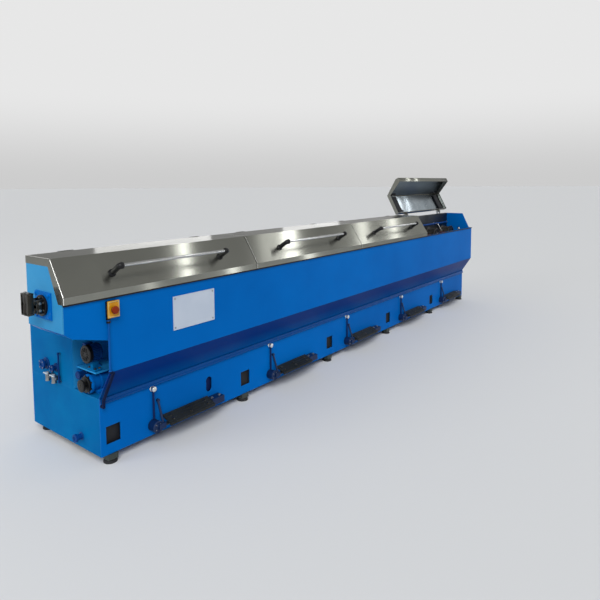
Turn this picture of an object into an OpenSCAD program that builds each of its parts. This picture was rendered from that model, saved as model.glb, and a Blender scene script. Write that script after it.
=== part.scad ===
// Wire drawing machine: a long drawing chamber under four stainless lids,
// on a base of five bays. X runs along the wire, Y to the back, Z up.

/* [Base] */
// Length of one bay of the base
bay_len = 1030; // [900:10:1200]
// Depth of the base, front to back
base_depth = 730; // [650:5:900]
// Height of the base box, without the feet
base_h = 320; // [280:5:380]
// Height of the levelling feet
foot_h = 50; // [40:5:80]
// Thickness of the painted sheets
sheet = 6; // [4:1:8]
// Width of a square hand hole in the base
hole_w = 88; // [60:2:110]
// Height of a square hand hole in the base
hole_h = 100; // [80:2:160]

/* [Upper body] */
// How far the upper body stands out in front of the base
front_out = 110; // [80:5:140]
// Height of the sloped band over the base
band_h = 170; // [140:5:220]
// Height of the front panel, from the band to the lids
panel_h = 393; // [350:5:450]
// How far the inlet nose hangs over the inlet end
nose_len = 240; // [200:5:300]
// Height of the nose's end plate under the front of the lids
nose_drop = 139; // [110:1:160]
// Thickness of the bearing plate behind the chamber
bearing_t = 35; // [25:5:40]
// Height of the gear housing over the base
housing_h = 640; // [560:10:660]

/* [Lids] */
// Height of a closed lid, from its lower front edge to its top
lid_rise = 212; // [180:2:240]
// Depth of the slanted front of a lid
lid_slope = 115; // [90:5:140]
// Depth of the flat top of a lid
lid_flat = 236; // [200:2:260]
// Height of the upright lip along the front of a lid
lid_lip = 35; // [25:1:45]
// Width of the turned-down edge of a lid
lid_edge = 38; // [25:1:45]
// Thickness of the lid sheet
lid_t = 3; // [2:0.5:4]
// How far a lid stands out in front of the front panel
lid_out = 12; // [10:1:20]
// Gap between two lids
lid_gap = 6; // [5:1:12]
// Angle through which a lid opens
lid_swing = 118; // [100:1:120]
// Radius of a hinge pin
pin_r = 5; // [4:0.5:6]
// Length of a lid handle between its brackets
handle_len = 760; // [500:10:900]
// Distance of a handle's tube from its lid
handle_off = 82; // [60:1:95]
// Radius of a handle's tube
handle_r = 9; // [7:0.5:14]

/* [Fittings] */
// Length of a foot bar
bar_len = 365; // [300:5:480]
// Radius of a drawing capstan
capstan_r = 105; // [80:5:110]
// Width of the sign plate
sign_w = 315; // [200:5:400]
// Height of the sign plate
sign_h = 195; // [120:5:240]
// Radius of the black flanges where the wire passes
flange_r = 52; // [45:1:60]
// Radius of the wire's bore at the outlet
wire_r = 12; // [8:1:16]
// Radius of the coolant pump's motor
motor_r = 50; // [45:1:60]

/* [Hidden] */
$fn = 48;
paint = [0.0, 0.34, 0.65];
dark_paint = [0.0, 0.16, 0.42];
steel = [0.62, 0.62, 0.58];
black = [0.06, 0.06, 0.07];

// Clearances
seat_gap = 0.3;
run_gap = 0.05;
knuckle_gap = 3;

// Levels and lengths that follow from the driving sizes
bays = 5;
lids = 4;
main_len = bays * bay_len;
base_top = foot_h + base_h;
band_top = base_top + band_h;
lid_low = band_top + panel_h;
lid_top = lid_low + lid_rise;
lid_pitch = (main_len + nose_len) / lids;
panel_top = lid_low - seat_gap;
floor_up = 180;
floor_top = band_top + floor_up;
housing_top = base_top + housing_h;
nose_low = lid_low - nose_drop;

// Places from front to back
lid_front = -front_out - lid_out;
kink_y = lid_front + lid_slope;
lid_rear = kink_y + lid_flat;
bearing_y = lid_rear - 14;
bearing_back = bearing_y + bearing_t;
hinge_y = lid_rear + 14;
hinge_z = lid_top - 8;

// Inside edge of a lid's turned-down ends, from the kink and from the front
edge_kink = 15;
edge_front = 46;
seat_z = lid_top - lid_edge - seat_gap;
front_z = lid_low - seat_gap;

// The wire's line through the inlet and the outlet, and the wider holes before the outlet
wire_y = 56;
wire_z = lid_low - 19;
guide_r = wire_r + 4;
outlet_t = 30;

// Inlet guide, outwards from the nose
pad_t = 8;
pad_w = 150;
pad_h = 134;
flange_t = 12;
arm_len = 76;
arm_t = 6;
cage_low = 28;
cage_high = 66;
roll_r = 14;
roll_len = 56;
roll_gap = 3;
guide_x = -nose_len - pad_t - flange_t;
inlet_reach = arm_len - guide_x;

// Lid handles: their place across the slanted face
face_len = sqrt(pow(lid_slope, 2) + pow(lid_rise - lid_lip, 2));
face_dir = [lid_slope / face_len, (lid_rise - lid_lip) / face_len];
face_out = [-face_dir[1], face_dir[0]];
foot_at = 90;
handle_foot = [lid_front + foot_at * face_dir[0], lid_low + lid_lip + foot_at * face_dir[1]];
handle_mid = handle_foot + handle_off * face_out;
elbow_r = 14;
stem_thin = 3;
handle_flange = 5;
handle_flange_t = 8;

// Foot bars: a tilted tread on a round bar between a hub and a bearing block
hub_x = 331;
hub_r = 34;
hub_len = 50;
bar_x = 380;
bar_y = -50;
bar_z = foot_h + 60;
bar_r = 11;
journal_r = 8;
journal_in = 22;
boss = 16;
tread_back = [34, 44];
tread_front = [-42, 12];
tread_t = 8;
tread_lip = 14;
tread_in = 8;
block_w = 100;
block_deep = 62;
block_up = 26;
stay_r = 6.5;
stay_in = 35;
stay_seat = 14;
stay_top = foot_h + 196;
gland_z = base_top - 44;
gland_r = 13;
gland_len = 26;
cable_r = 6;
cable_y = -gland_len / 2;
cable_head = gland_z - gland_r - seat_gap;
cable_foot = bar_z + hub_r + seat_gap;

// The strip along the base's top edge ends in a round bead
edge_t = 8;
edge_h = 30;
bead_r = 6;

// Emergency stop, at the inlet end of the front panel
stop_w = 67;
stop_h = 86;
stop_t = 28;
stop_x = -17;
stop_z = lid_low - 19 - stop_h;
button_r = 20;
button_t = 16;
button_x = stop_x + stop_w / 2;
button_z = stop_z + 40;
button_travel = 5;
button_gap = button_travel + 1;
stem_r = 8;
stem_in = 15;
stop_cable_x = -8;
stop_cable_r = 5;
stop_gland_r = 9;
stop_gland_h = 26;
conduit_x = 10;
conduit_r = 8;
bend_swell = 0.5;
conduit_off = edge_t + bead_r + conduit_r + 1;

// The pump bay is open at the inlet end
bay_deep = 300;
bay_in = sheet + 4;
shelf_z = base_top + 125;
shelf_w = 190;
shelf_x = 20;
shelf_len = 150;
shelf_t = 8;
motor_y = 105;
motor_z = shelf_z + 100;
motor_len = 66;
motor_x = -10;
motor_cap = 18;
motor_foot = 35;
pump_y = 112;
pump_r = 52;
pump_len = 190;
pump_foot = 40;
pump_z = base_top + pump_r + 6;
port_y = 92;
port_z = 28;
port_r = 22;
drain_y = 190;
drain_z = foot_h + 66;
gauge_y = 388;
gauge_low = base_top + 4;
gauge_len = 176;
gauge_r = 6;
valve_z = base_top + 30;
valve_r = 15;
lever_t = 8;

// The machine's own box, whose bottom centre is the origin
front_reach = max(front_out + stop_t + button_gap + button_t, elbow_r - handle_mid[0]);
box_x = [-inlet_reach, main_len + outlet_t];
box_y = [-front_reach, base_depth];
mid_x = (box_x[0] + box_x[1]) / 2;
mid_y = (box_y[0] + box_y[1]) / 2;

// Puts a piece drawn from the inlet end and the base's front into the machine's frame
module placed() {
    translate([-mid_x, -mid_y, 0]) children();
}

// A box between two corners
module block(low, high) {
    translate(low) cube(high - low);
}

// A profile drawn as [back, up] points, drawn out along the machine
module along(x, len, points) {
    translate([x, 0, 0]) rotate([90, 0, 90]) linear_extrude(len) polygon(points);
}

// A round bar between two points on one axis
module rod_x(x, len, y, z, r) {
    translate([x, y, z]) rotate([0, 90, 0]) cylinder(h = len, r = r);
}
module rod_y(x, y, len, z, r) {
    translate([x, y, z]) rotate([-90, 0, 0]) cylinder(h = len, r = r);
}
module rod_z(x, y, z, len, r) {
    translate([x, y, z]) cylinder(h = len, r = r);
}

// A round bar between any two points, and one with a slightly swollen ball at each end
module strut(a, b, r) {
    d = b - a;
    flat = norm([d[0], d[1]]);
    translate(a) rotate([0, atan2(flat, d[2]), atan2(d[1], d[0])]) cylinder(h = norm(d), r = r);
}
module bar_between(a, b, r) {
    strut(a, b, r);
    for (end = [a, b]) translate(end) sphere(r + bend_swell);
}

// The hole for the wire through a plate
module wire_hole(x, len, r) {
    rod_x(x - 1, len + 2, wire_y, wire_z, r);
}

// Outline under a closed lid, from the front panel to the bearing plate
function lid_seat(front, back) = [
    [front, front_z],
    [lid_front + edge_front, front_z],
    [kink_y + edge_kink, seat_z],
    [back, seat_z]
];

// Where the hand holes and the larger slots of the base's front stand
hole_in = 32;
hole_low = foot_h + 57;
slot_x = 770;
slot_r = 25;
slot_low = foot_h + 142;
slot_len = 48;

module base_front() color(paint) placed() difference() {
    block([0, 0, foot_h], [main_len, sheet, base_top - sheet]);
    for (i = [0 : bays - 1])
        translate([i * bay_len + hole_in, 0, 0]) block([0, -1, hole_low], [hole_w, sheet + 1, hole_low + hole_h]);
    for (end = [0, 1]) rod_y(slot_x, -1, sheet + 2, slot_low + end * slot_len, slot_r);
    block([slot_x - slot_r, -1, slot_low], [slot_x + slot_r, sheet + 1, slot_low + slot_len]);
}

module base_frame() color(paint) placed() {
    rail_w = 90;
    rail_t = 12;
    block([0, base_depth - sheet, foot_h], [main_len, base_depth, base_top - sheet]);
    for (y = [sheet, base_depth - sheet - rail_w])
        block([sheet, y, foot_h], [main_len - sheet, y + rail_w, foot_h + rail_t]);
}

module base_deck() color(paint) placed() {
    block([0, 0, base_top - sheet], [main_len, base_depth, base_top]);
}

module inlet_end_plate() color(paint) placed() {
    block([0, sheet, foot_h], [sheet, base_depth - sheet, base_top - sheet]);
}

module outlet_end_plate() color(paint) placed() {
    block([main_len - sheet, sheet, foot_h], [main_len, base_depth - sheet, base_top - sheet]);
    difference() {
        along(main_len - sheet, sheet, concat(
            [[bearing_back, base_top], [0, base_top], [-front_out, band_top]],
            lid_seat(-front_out, bearing_back)));
        wire_hole(main_len - sheet, sheet, guide_r);
    }
}

module edge_bar() color(paint) placed() {
    block([0, -edge_t, base_top - edge_h], [main_len, 0, base_top]);
    rod_x(0, main_len, -edge_t, base_top - edge_h + bead_r, bead_r);
}

module sloped_band() color(dark_paint) placed() {
    slope_wall = 1.5 * sheet;
    along(0, main_len - sheet, [[0, base_top], [slope_wall, base_top],
        [-front_out + sheet, band_top], [-front_out, band_top]]);
}

module front_panel() color(paint) placed() {
    block([0, -front_out, band_top], [main_len - sheet, sheet - front_out, panel_top]);
}

// The nose hangs over the inlet end: its underside drops a little to a kink, then runs to the body
nose_kink = 0.8;
nose_sag = 36;
nose_root = floor_top - 12;
nose_rear = bearing_y + 10;
nose_mouth = 60;

module nose_outline(inset) {
    blunt = 0.8;
    polygon([[-nose_len + inset, nose_low + inset * blunt],
        [-nose_len * nose_kink, nose_low - nose_sag + inset], [1, nose_root + inset * blunt], [1, seat_z], [-nose_len + inset, seat_z]]);
}

module inlet_nose() color(paint) placed() difference() {
    intersection() {
        translate([0, nose_rear, 0]) rotate([90, 0, 0]) linear_extrude(nose_rear + front_out) nose_outline(0);
        along(-nose_len + sheet, nose_len - sheet,
            concat([[nose_rear, 0], [-front_out, 0]], lid_seat(-front_out, nose_rear)));
    }
    translate([0, nose_rear - sheet, 0]) rotate([90, 0, 0])
        linear_extrude(nose_rear + front_out - 2 * sheet) nose_outline(sheet);
    block([-nose_len, -front_out + sheet, lid_low - nose_mouth], [1, nose_rear - sheet, lid_top]);
}

module inlet_head_plate() color([0.25, 0.58, 0.78]) placed() difference() {
    along(-nose_len, sheet, concat(
        [[nose_rear, nose_low], [-front_out, nose_low]], lid_seat(-front_out, nose_rear)));
    wire_hole(-nose_len, sheet, guide_r);
}

floor_t = 8;
bearing_low = floor_top - 20;

module chamber_floor() color(steel) placed() {
    block([0, sheet - front_out, floor_top - floor_t], [main_len - sheet, bearing_y, floor_top]);
}

module bearing_plate() color(steel) placed() {
    block([0, bearing_y, bearing_low], [main_len - sheet, bearing_back, seat_z]);
}

module gear_housing() color(paint) placed() difference() {
    block([0, bearing_back, base_top], [main_len, base_depth, housing_top]);
    block([sheet, bearing_back + sheet, base_top - 1],
        [main_len - sheet, base_depth - sheet, housing_top - sheet]);
}

// Bars across the chamber under the joints between lids
module lid_ribs() color(steel) placed() {
    rib_w = 60;
    rib_t = 40;
    for (i = [1 : lids - 1])
        along(-nose_len + i * lid_pitch - rib_w / 2, rib_w, concat(
            [[bearing_y, seat_z - rib_t], [kink_y + rib_t, seat_z - rib_t], [sheet - front_out, front_z - rib_t]],
            lid_seat(sheet - front_out, bearing_y)));
}

// Where each lid's two hinges stand, from the lid's own end
hinge_in = 220;
hinge_at = [hinge_in, lid_pitch - hinge_in];
hinge_w = 60;
lug_w = 12;
knuckle_t = 5;
pin_seat = 8;

module lid_hinges() color(steel) placed() {
    for (i = [0 : lids - 1])
        for (h = hinge_at)
            translate([-nose_len + i * lid_pitch + h, 0, 0]) {
                rod_x(-hinge_w / 2 - lug_w, hinge_w + 2 * lug_w, hinge_y, hinge_z, pin_r);
                for (x = [-hinge_w / 2 - lug_w, hinge_w / 2]) {
                    rod_x(x, lug_w, hinge_y, hinge_z, pin_r + knuckle_t);
                    block([x, hinge_y - pin_seat, seat_z], [x + lug_w, hinge_y + pin_seat, hinge_z]);
                }
            }
}

// A lid drawn closed, between two places along the machine
module closed_lid(x0, x1) {
    miter = 0.55 * lid_t;
    outer = [[lid_rear, lid_top - lid_edge], [lid_rear, lid_top], [kink_y, lid_top],
        [lid_front, lid_low + lid_lip], [lid_front, lid_low]];
    edge_in = [[lid_front + edge_front, lid_low], [kink_y + edge_kink, lid_top - lid_edge]];
    difference() {
        along(x0, x1 - x0, concat(outer, edge_in));
        along(x0 + lid_t, x1 - x0 - 2 * lid_t, [
            [lid_rear - lid_t, lid_top - lid_edge - 1], [lid_rear - lid_t, lid_top - lid_t],
            [kink_y + miter, lid_top - lid_t], [lid_front + lid_t, lid_low + lid_lip - miter],
            [lid_front + lid_t, lid_low - 1], [lid_rear - lid_t, lid_low - 1]]);
    }
}

module knuckle(x) {
    half = hinge_w / 2 - knuckle_gap;
    leaf = 7;
    difference() {
        union() {
            rod_x(x - half, 2 * half, hinge_y, hinge_z, pin_r + knuckle_t);
            block([x - half, lid_rear, hinge_z - leaf], [x + half, hinge_y, hinge_z + leaf]);
        }
        rod_x(x - half - 1, 2 * half + 2, hinge_y, hinge_z, pin_r + run_gap);
    }
}

function lid_angle(i) = i == lids - 1 ? -lid_swing : 0;

// Turns a piece of the last lid to its open place
module opened(i) {
    translate([0, hinge_y, hinge_z]) rotate([lid_angle(i), 0, 0]) translate([0, -hinge_y, -hinge_z]) children();
}

module lid(i) color(steel) placed() opened(i) {
    x0 = -nose_len + i * lid_pitch;
    closed_lid(x0 + (i == 0 ? 0 : lid_gap / 2), x0 + lid_pitch - (i == lids - 1 ? 0 : lid_gap / 2));
    for (h = hinge_at) knuckle(x0 + h);
}

module handle(i) color(black) placed() opened(i) {
    mid = -nose_len + (i + 0.5) * lid_pitch;
    x0 = mid - handle_len / 2;
    x1 = mid + handle_len / 2;
    foot = handle_foot + seat_gap * face_out;
    color(steel) rod_x(x0, handle_len, handle_mid[0], handle_mid[1], handle_r);
    for (x = [x0, x1]) {
        rod_x(x - elbow_r, 2 * elbow_r, handle_mid[0], handle_mid[1], elbow_r);
        translate([x, foot[0], foot[1]]) rotate([atan2(-face_out[0], face_out[1]), 0, 0]) {
            cylinder(h = handle_flange_t, r = elbow_r + handle_flange);
            cylinder(h = handle_off - seat_gap, r = elbow_r - stem_thin);
        }
    }
}

module lid_1() lid(0);
module lid_2() lid(1);
module lid_3() lid(2);
module lid_4() lid(3);
module lid_handle_1() handle(0);
module lid_handle_2() handle(1);
module lid_handle_3() handle(2);
module lid_handle_4() handle(3);

// Capstans stand along the bearing plate, with a die holder before each
capstan_n = 12;
capstan_pitch = main_len / capstan_n;
capstan_z = floor_top + 140;

// Each step of a capstan: its front face before the bearing plate, its width, its radius
capstan_steps = [[30, 30, 40], [42, 12, capstan_r], [130, 88, capstan_r - 15],
    [142, 12, capstan_r - 6], [160, 18, 30]];

module capstans() color([0.3, 0.3, 0.3]) placed() {
    for (i = [0 : capstan_n - 1])
        for (step = capstan_steps)
            rod_y((i + 0.5) * capstan_pitch, bearing_y - step[0], step[1], capstan_z, step[2]);
}

module die_holders() color([0.35, 0.1, 0.1]) placed() {
    die_w = 60;
    die_front = 150;
    die_back = 70;
    die_h = 175;
    die_y = bearing_y - 110;
    die_r = 14;
    arm_w = 44;
    arm_low = 60;
    arm_high = 120;
    for (i = [1 : capstan_n - 1])
        translate([i * capstan_pitch, 0, 0]) difference() {
            union() {
                block([-die_w / 2, bearing_y - die_front, floor_top],
                    [die_w / 2, bearing_y - die_back, floor_top + die_h]);
                block([-arm_w / 2, bearing_y - die_back, floor_top + arm_low],
                    [arm_w / 2, bearing_y, floor_top + arm_high]);
            }
            rod_x(-die_w / 2 - 1, die_w + 2, die_y, capstan_z, die_r);
        }
}

module inlet_bracket() color(paint) placed() difference() {
    block([-nose_len - pad_t, wire_y - pad_w / 2, wire_z - pad_h / 2],
        [-nose_len, wire_y + pad_w / 2, wire_z + pad_h / 2]);
    wire_hole(-nose_len - pad_t, pad_t, guide_r);
}

module wire_flanges() color(black) placed() {
    difference() {
        rod_x(guide_x, flange_t, wire_y, wire_z, flange_r);
        wire_hole(guide_x, flange_t, guide_r);
    }
    difference() {
        rod_x(main_len, outlet_t, wire_y, wire_z, flange_r);
        wire_hole(main_len, outlet_t, wire_r);
    }
}

module inlet_rollers() color([0.75, 0.75, 0.75]) placed() {
    x0 = -inlet_reach;
    low = wire_z - cage_low;
    high = wire_z + cage_high;
    half = roll_len / 2;
    post_r = roll_r - 2;
    for (y = [wire_y - half - arm_t, wire_y + half])
        block([x0, y, low], [x0 + arm_len, y + arm_t, high]);
    for (side = [-1, 1]) {
        rod_y(x0 + arm_len - roll_r - 4, wire_y - half - 1, roll_len + 2, wire_z + side * (roll_r + roll_gap), roll_r);
        rod_z(x0 + roll_r, wire_y + side * (post_r + roll_gap), low - 1, high - low + 2, post_r);
    }
    for (z = [low - arm_t, high])
        block([x0, wire_y - half - arm_t, z], [x0 + 2 * roll_r + 4, wire_y + half + arm_t, z + arm_t]);
}

module pump_bay() color([0.1, 0.42, 0.6]) placed() {
    under = floor_top - floor_t;
    along(bay_deep, sheet, [[bay_in, base_top], [bearing_back, base_top], [bearing_back, bearing_low],
        [bearing_y, bearing_low], [bearing_y, under], [sheet - front_out, under],
        [sheet - front_out, band_top + 2]]);
    block([shelf_x, bearing_back - shelf_w, shelf_z - shelf_t], [shelf_x + shelf_len, bearing_back, shelf_z]);
}

module pump_motor() color(dark_paint) placed() {
    body_x = motor_x + motor_cap;
    rod_x(body_x, motor_len, motor_y, motor_z, motor_r - 2);
    block([shelf_x, motor_y - motor_foot, shelf_z], [body_x + motor_len - 10, motor_y + motor_foot, motor_z - motor_r + 8]);
    color(black) rod_x(motor_x, motor_cap, motor_y, motor_z, motor_r);
}

// Discs on the pump's shaft: their outer end, thickness and radius
pump_discs = [[-40, 11, 34], [-14, 12, 44]];

module pump_body() color(dark_paint) placed() {
    shaft_len = 40;
    shaft_r = 14;
    arm_high = 16;
    rod_x(0, pump_len, pump_y, pump_z, pump_r);
    block([pump_foot, pump_y - pump_foot, base_top],
        [pump_len - pump_foot, pump_y + pump_foot, pump_z - pump_r + 12]);
    rod_x(-shaft_len, shaft_len, pump_y, pump_z, shaft_r);
    color(black) for (disc = pump_discs) rod_x(disc[0], disc[1], pump_y, pump_z, disc[2]);
    rod_x(-4, 72, pump_y + port_y, pump_z + port_z, port_r);
    block([shelf_x, pump_y + port_y, pump_z + port_z - arm_high],
        [shelf_x + pump_foot, bearing_back, pump_z + port_z + arm_high]);
}

// Pipe ends on the housing: their place, height over the base, flange and pipe radius
pipe_len = 36;
pipe_ends = [[545, 86, 30, 16], [432, 84, 21, 12]];

module coolant_pipes() color(dark_paint) placed() {
    for (p = pipe_ends) {
        rod_x(-pipe_len, pipe_len, p[0], base_top + p[1], p[3]);
        rod_x(-pipe_len, 14, p[0], base_top + p[1], p[2]);
        rod_x(-8, 8, p[0], base_top + p[1], p[2] + 4);
    }
    rod_z(-2 * gauge_r, gauge_y, gauge_low, gauge_len, gauge_r);
    for (z = [gauge_low + gauge_r, gauge_low + gauge_len - gauge_r])
        rod_x(-2 * gauge_r, 2 * gauge_r, gauge_y, z, gauge_r);
}

module coolant_valves() color(steel) placed() {
    out = 2 * valve_r;
    for (y = [408, 478]) {
        rod_x(-out, out, y, valve_z, valve_r - 2);
        rod_z(-out, y, valve_z - 22, 44, valve_r);
        block([-out - 22, y - 30, valve_z + 20], [-out - 22 + lever_t, y + 14, valve_z + 20 + lever_t]);
        rod_x(-out - 22, 22, y, valve_z + 24, 6);
        rod_z(-out, y, valve_z - 22, 50, 6);
    }
}

module drain_pipe() color(dark_paint) placed() {
    rod_x(-30, 30, drain_y, drain_z, 17);
    rod_x(-44, 14, drain_y, drain_z, 24);
}

foot_in = 65;
foot_end = 60;
foot_y = [20, base_depth - 50];
pad_r = 38;
pad_low = 20;
function foot_x(i) = i == bays ? main_len - foot_end : foot_in + i * bay_len;

module foot_pads() color(black) placed() {
    for (i = [0 : bays])
        for (y = foot_y) rod_z(foot_x(i), y, 0, pad_low, pad_r);
}

module foot_blocks() color([0.32, 0.4, 0.34]) placed() {
    for (i = [0 : bays])
        for (y = foot_y)
            block([foot_x(i) - pad_r + pad_t, y - pad_r + pad_t, pad_low],
                [foot_x(i) + pad_r - pad_t, y + pad_r - pad_t, foot_h]);
}

module e_stop_box() color([0.9, 0.6, 0.05]) placed() difference() {
    block([stop_x, -front_out - stop_t, stop_z], [stop_x + stop_w, -front_out, stop_z + stop_h]);
    rod_y(button_x, -front_out - stop_t - 1, stem_in + button_travel + 3, button_z, stem_r);
}

module e_stop_button() color([0.85, 0.2, 0.05]) placed() {
    face = -front_out - stop_t;
    rod_y(button_x, face - button_gap - button_t, button_t, button_z, button_r);
    rod_y(button_x, face - button_gap, button_gap + stem_in, button_z, stem_r - run_gap);
}

module e_stop_cable() color(black) placed() {
    x = stop_cable_x;
    off = stop_t / 2;
    fall = off * tan(atan2(front_out, band_h) / 2);
    y = -front_out - off;
    low = stop_z - stop_gland_h;
    foot = base_top - edge_h - conduit_r - 2;
    rod_z(x, y, low, stop_gland_h, stop_gland_r);
    bar_between([x, y, low], [x, y, band_top + conduit_x], stop_cable_r);
    bar_between([x, y, band_top + conduit_x], [conduit_x, y, band_top - fall], conduit_r);
    bar_between([conduit_x, y, band_top - fall], [conduit_x, -conduit_off, base_top - fall], conduit_r);
    bar_between([conduit_x, -conduit_off, base_top - fall], [conduit_x, -conduit_off, foot], conduit_r);
    rod_y(conduit_x, -conduit_off, conduit_off, foot, conduit_r);
}

module sign_plate() color([0.75, 0.78, 0.82]) placed() {
    sign_t = 3;
    x = 0.55 * bay_len - sign_w / 2;
    z = band_top + 0.57 * panel_h - sign_h / 2;
    block([x, -front_out - sign_t, z], [x + sign_w, -front_out, z + sign_h]);
}

module cable_glands() color([0.8, 0.82, 0.85]) placed() {
    for (i = [0 : bays - 1])
        rod_y(i * bay_len + hub_x, -gland_len, gland_len, gland_z, gland_r);
}

module switch_cables() color(black) placed() {
    for (i = [0 : bays - 1])
        rod_z(i * bay_len + hub_x, cable_y, cable_foot, cable_head - cable_foot, cable_r);
}

module switch_hubs() color(dark_paint) placed() {
    end = bar_x + bar_len;
    for (i = [0 : bays - 1])
        translate([i * bay_len, 0, 0]) {
            difference() {
                union() {
                    rod_y(hub_x, -hub_len, hub_len, bar_z, hub_r);
                    block([hub_x, bar_y - boss, bar_z - boss], [bar_x - knuckle_gap, bar_y + boss, bar_z + boss]);
                }
                rod_x(bar_x - knuckle_gap - journal_in - 2, journal_in + 3, bar_y, bar_z, journal_r + run_gap);
            }
            strut([hub_x + stay_in, -stay_seat / 2, stay_top], [hub_x + stay_in, bar_y, bar_z + boss - 3], stay_r);
            rod_y(hub_x + stay_in, -stay_seat, stay_seat, stay_top, stay_r + 3);
            difference() {
                block([end, -block_deep, bar_z - boss], [end + block_w, 0, bar_z + block_up]);
                rod_x(end - 1, block_w + 2, bar_y, bar_z, journal_r + run_gap);
            }
        }
}

module foot_bar(i) color([0.05, 0.1, 0.12]) placed() translate([i * bay_len, 0, 0]) {
    len = bar_len - knuckle_gap;
    back = [bar_y + tread_back[0], bar_z + tread_back[1]];
    front = [bar_y + tread_front[0], bar_z + tread_front[1]];
    rod_x(bar_x, len, bar_y, bar_z, bar_r);
    rod_x(bar_x + len, knuckle_gap + block_w, bar_y, bar_z, journal_r);
    rod_x(bar_x - knuckle_gap - journal_in, knuckle_gap + journal_in, bar_y, bar_z, journal_r);
    along(bar_x + tread_in, len - tread_in - 5, [back, front, front - [0, tread_lip],
        front + [tread_t, -tread_lip], front + [tread_t, -tread_t / 2], back - [0, tread_t]]);
    for (x = [bar_x + 40, bar_x + len / 2, bar_x + len - 52])
        along(x, 12, [[bar_y - 10, bar_z], [bar_y + 10, bar_z], [bar_y + 14, bar_z + 30], [bar_y - 24, bar_z + 14]]);
}

module foot_bar_1() foot_bar(0);
module foot_bar_2() foot_bar(1);
module foot_bar_3() foot_bar(2);
module foot_bar_4() foot_bar(3);
module foot_bar_5() foot_bar(4);

base_front();
base_frame();
base_deck();
inlet_end_plate();
outlet_end_plate();
edge_bar();
sloped_band();
front_panel();
inlet_nose();
inlet_head_plate();
chamber_floor();
bearing_plate();
gear_housing();
lid_ribs();
lid_hinges();
capstans();
die_holders();
inlet_bracket();
wire_flanges();
inlet_rollers();
pump_bay();
pump_motor();
pump_body();
coolant_pipes();
coolant_valves();
drain_pipe();
foot_pads();
foot_blocks();
e_stop_box();
e_stop_button();
e_stop_cable();
sign_plate();
cable_glands();
switch_cables();
switch_hubs();
foot_bar_1();
foot_bar_2();
foot_bar_3();
foot_bar_4();
foot_bar_5();
lid_1();
lid_2();
lid_3();
lid_4();
lid_handle_1();
lid_handle_2();
lid_handle_3();
lid_handle_4();
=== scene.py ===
import math
import bpy, bmesh
from mathutils import Matrix, Vector


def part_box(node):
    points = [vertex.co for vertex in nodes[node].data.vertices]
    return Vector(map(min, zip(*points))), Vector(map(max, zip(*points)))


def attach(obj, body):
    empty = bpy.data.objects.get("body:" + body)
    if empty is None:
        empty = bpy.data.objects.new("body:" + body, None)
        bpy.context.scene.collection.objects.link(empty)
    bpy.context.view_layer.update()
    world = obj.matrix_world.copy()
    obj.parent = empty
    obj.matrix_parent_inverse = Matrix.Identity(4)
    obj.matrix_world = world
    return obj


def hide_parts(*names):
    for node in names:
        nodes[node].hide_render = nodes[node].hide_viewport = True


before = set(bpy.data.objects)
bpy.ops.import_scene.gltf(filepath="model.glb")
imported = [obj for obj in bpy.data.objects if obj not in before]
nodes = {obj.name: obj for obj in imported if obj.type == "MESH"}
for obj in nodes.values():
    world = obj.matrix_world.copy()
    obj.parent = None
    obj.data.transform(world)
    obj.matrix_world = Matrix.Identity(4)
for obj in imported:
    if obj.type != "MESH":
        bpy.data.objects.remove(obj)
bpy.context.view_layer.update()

# Lengths below are millimetres from the inlet end, the front of the base and the floor
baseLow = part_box("base_front")[0]
startCorner = Vector((baseLow.x, baseLow.y, 0))


def spot(x, y, z):
    return startCorner + Vector((x, y, z)) / 1000


def tone(red, green, blue):
    # A colour as a screen shows it, 0 to 255, turned to the linear value a shader takes
    def straight(part):
        part /= 255
        return part / 12.92 if part < 0.04045 else ((part + 0.055) / 1.055) ** 2.4
    return (straight(red), straight(green), straight(blue), 1)


def addNode(tree, kind, inputs={}, **settings):
    # A shader node with its settings; an input takes a plain value or a link from another node's socket
    node = tree.nodes.new(kind)
    for setting, value in settings.items():
        setattr(node, setting, value)
    for name, source in inputs.items():
        if isinstance(source, bpy.types.NodeSocket):
            tree.links.new(source, node.inputs[name])
        else:
            node.inputs[name].default_value = source
    return node


def multiplied(tree, first, second, **settings):
    return addNode(tree, "ShaderNodeMath", {0: first, 1: second}, operation="MULTIPLY", **settings).outputs[0]


print("camera")
cameraView = {"place": (-1496.6, -2502.2, 1500), "yaw": 37.7423, "pitch": 4.6844, "roll": -0.3278,
              "focal": 531.04, "middleRow": 226.82, "width": 600}


def makeCamera(values):
    yaw, pitch, roll = (math.radians(values[part]) for part in ("yaw", "pitch", "roll"))
    ahead = Vector((math.cos(pitch) * math.cos(yaw), math.cos(pitch) * math.sin(yaw), -math.sin(pitch)))
    levelRight = Vector((math.sin(yaw), -math.cos(yaw), 0))
    levelUp = levelRight.cross(ahead)
    right = math.cos(roll) * levelRight + math.sin(roll) * levelUp
    up = -math.sin(roll) * levelRight + math.cos(roll) * levelUp
    lens = bpy.data.cameras.new("photoCamera")
    lens.sensor_width = 36
    lens.lens = values["focal"] * 36 / values["width"]
    lens.shift_y = (values["middleRow"] - values["width"] / 2) / values["width"]
    lens.clip_start = 0.05
    lens.clip_end = 200
    camera = bpy.data.objects.new("photoCamera", lens)
    turn = Matrix((right, up, -ahead)).transposed().to_4x4()
    camera.matrix_world = Matrix.Translation(spot(*values["place"])) @ turn
    bpy.context.scene.collection.objects.link(camera)
    bpy.context.scene.camera = camera


makeCamera(cameraView)
bpy.context.scene.view_settings.view_transform = "Standard"

print("room and light")
room = {"backdrop": 0.8, "horizon": 0.76, "horizonTop": 0.16, "overhead": 0.42, "fade": (0.33, 0.5),
        "floor": (206, 208, 210), "floorRough": 0.75, "floorSize": 400}


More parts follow.
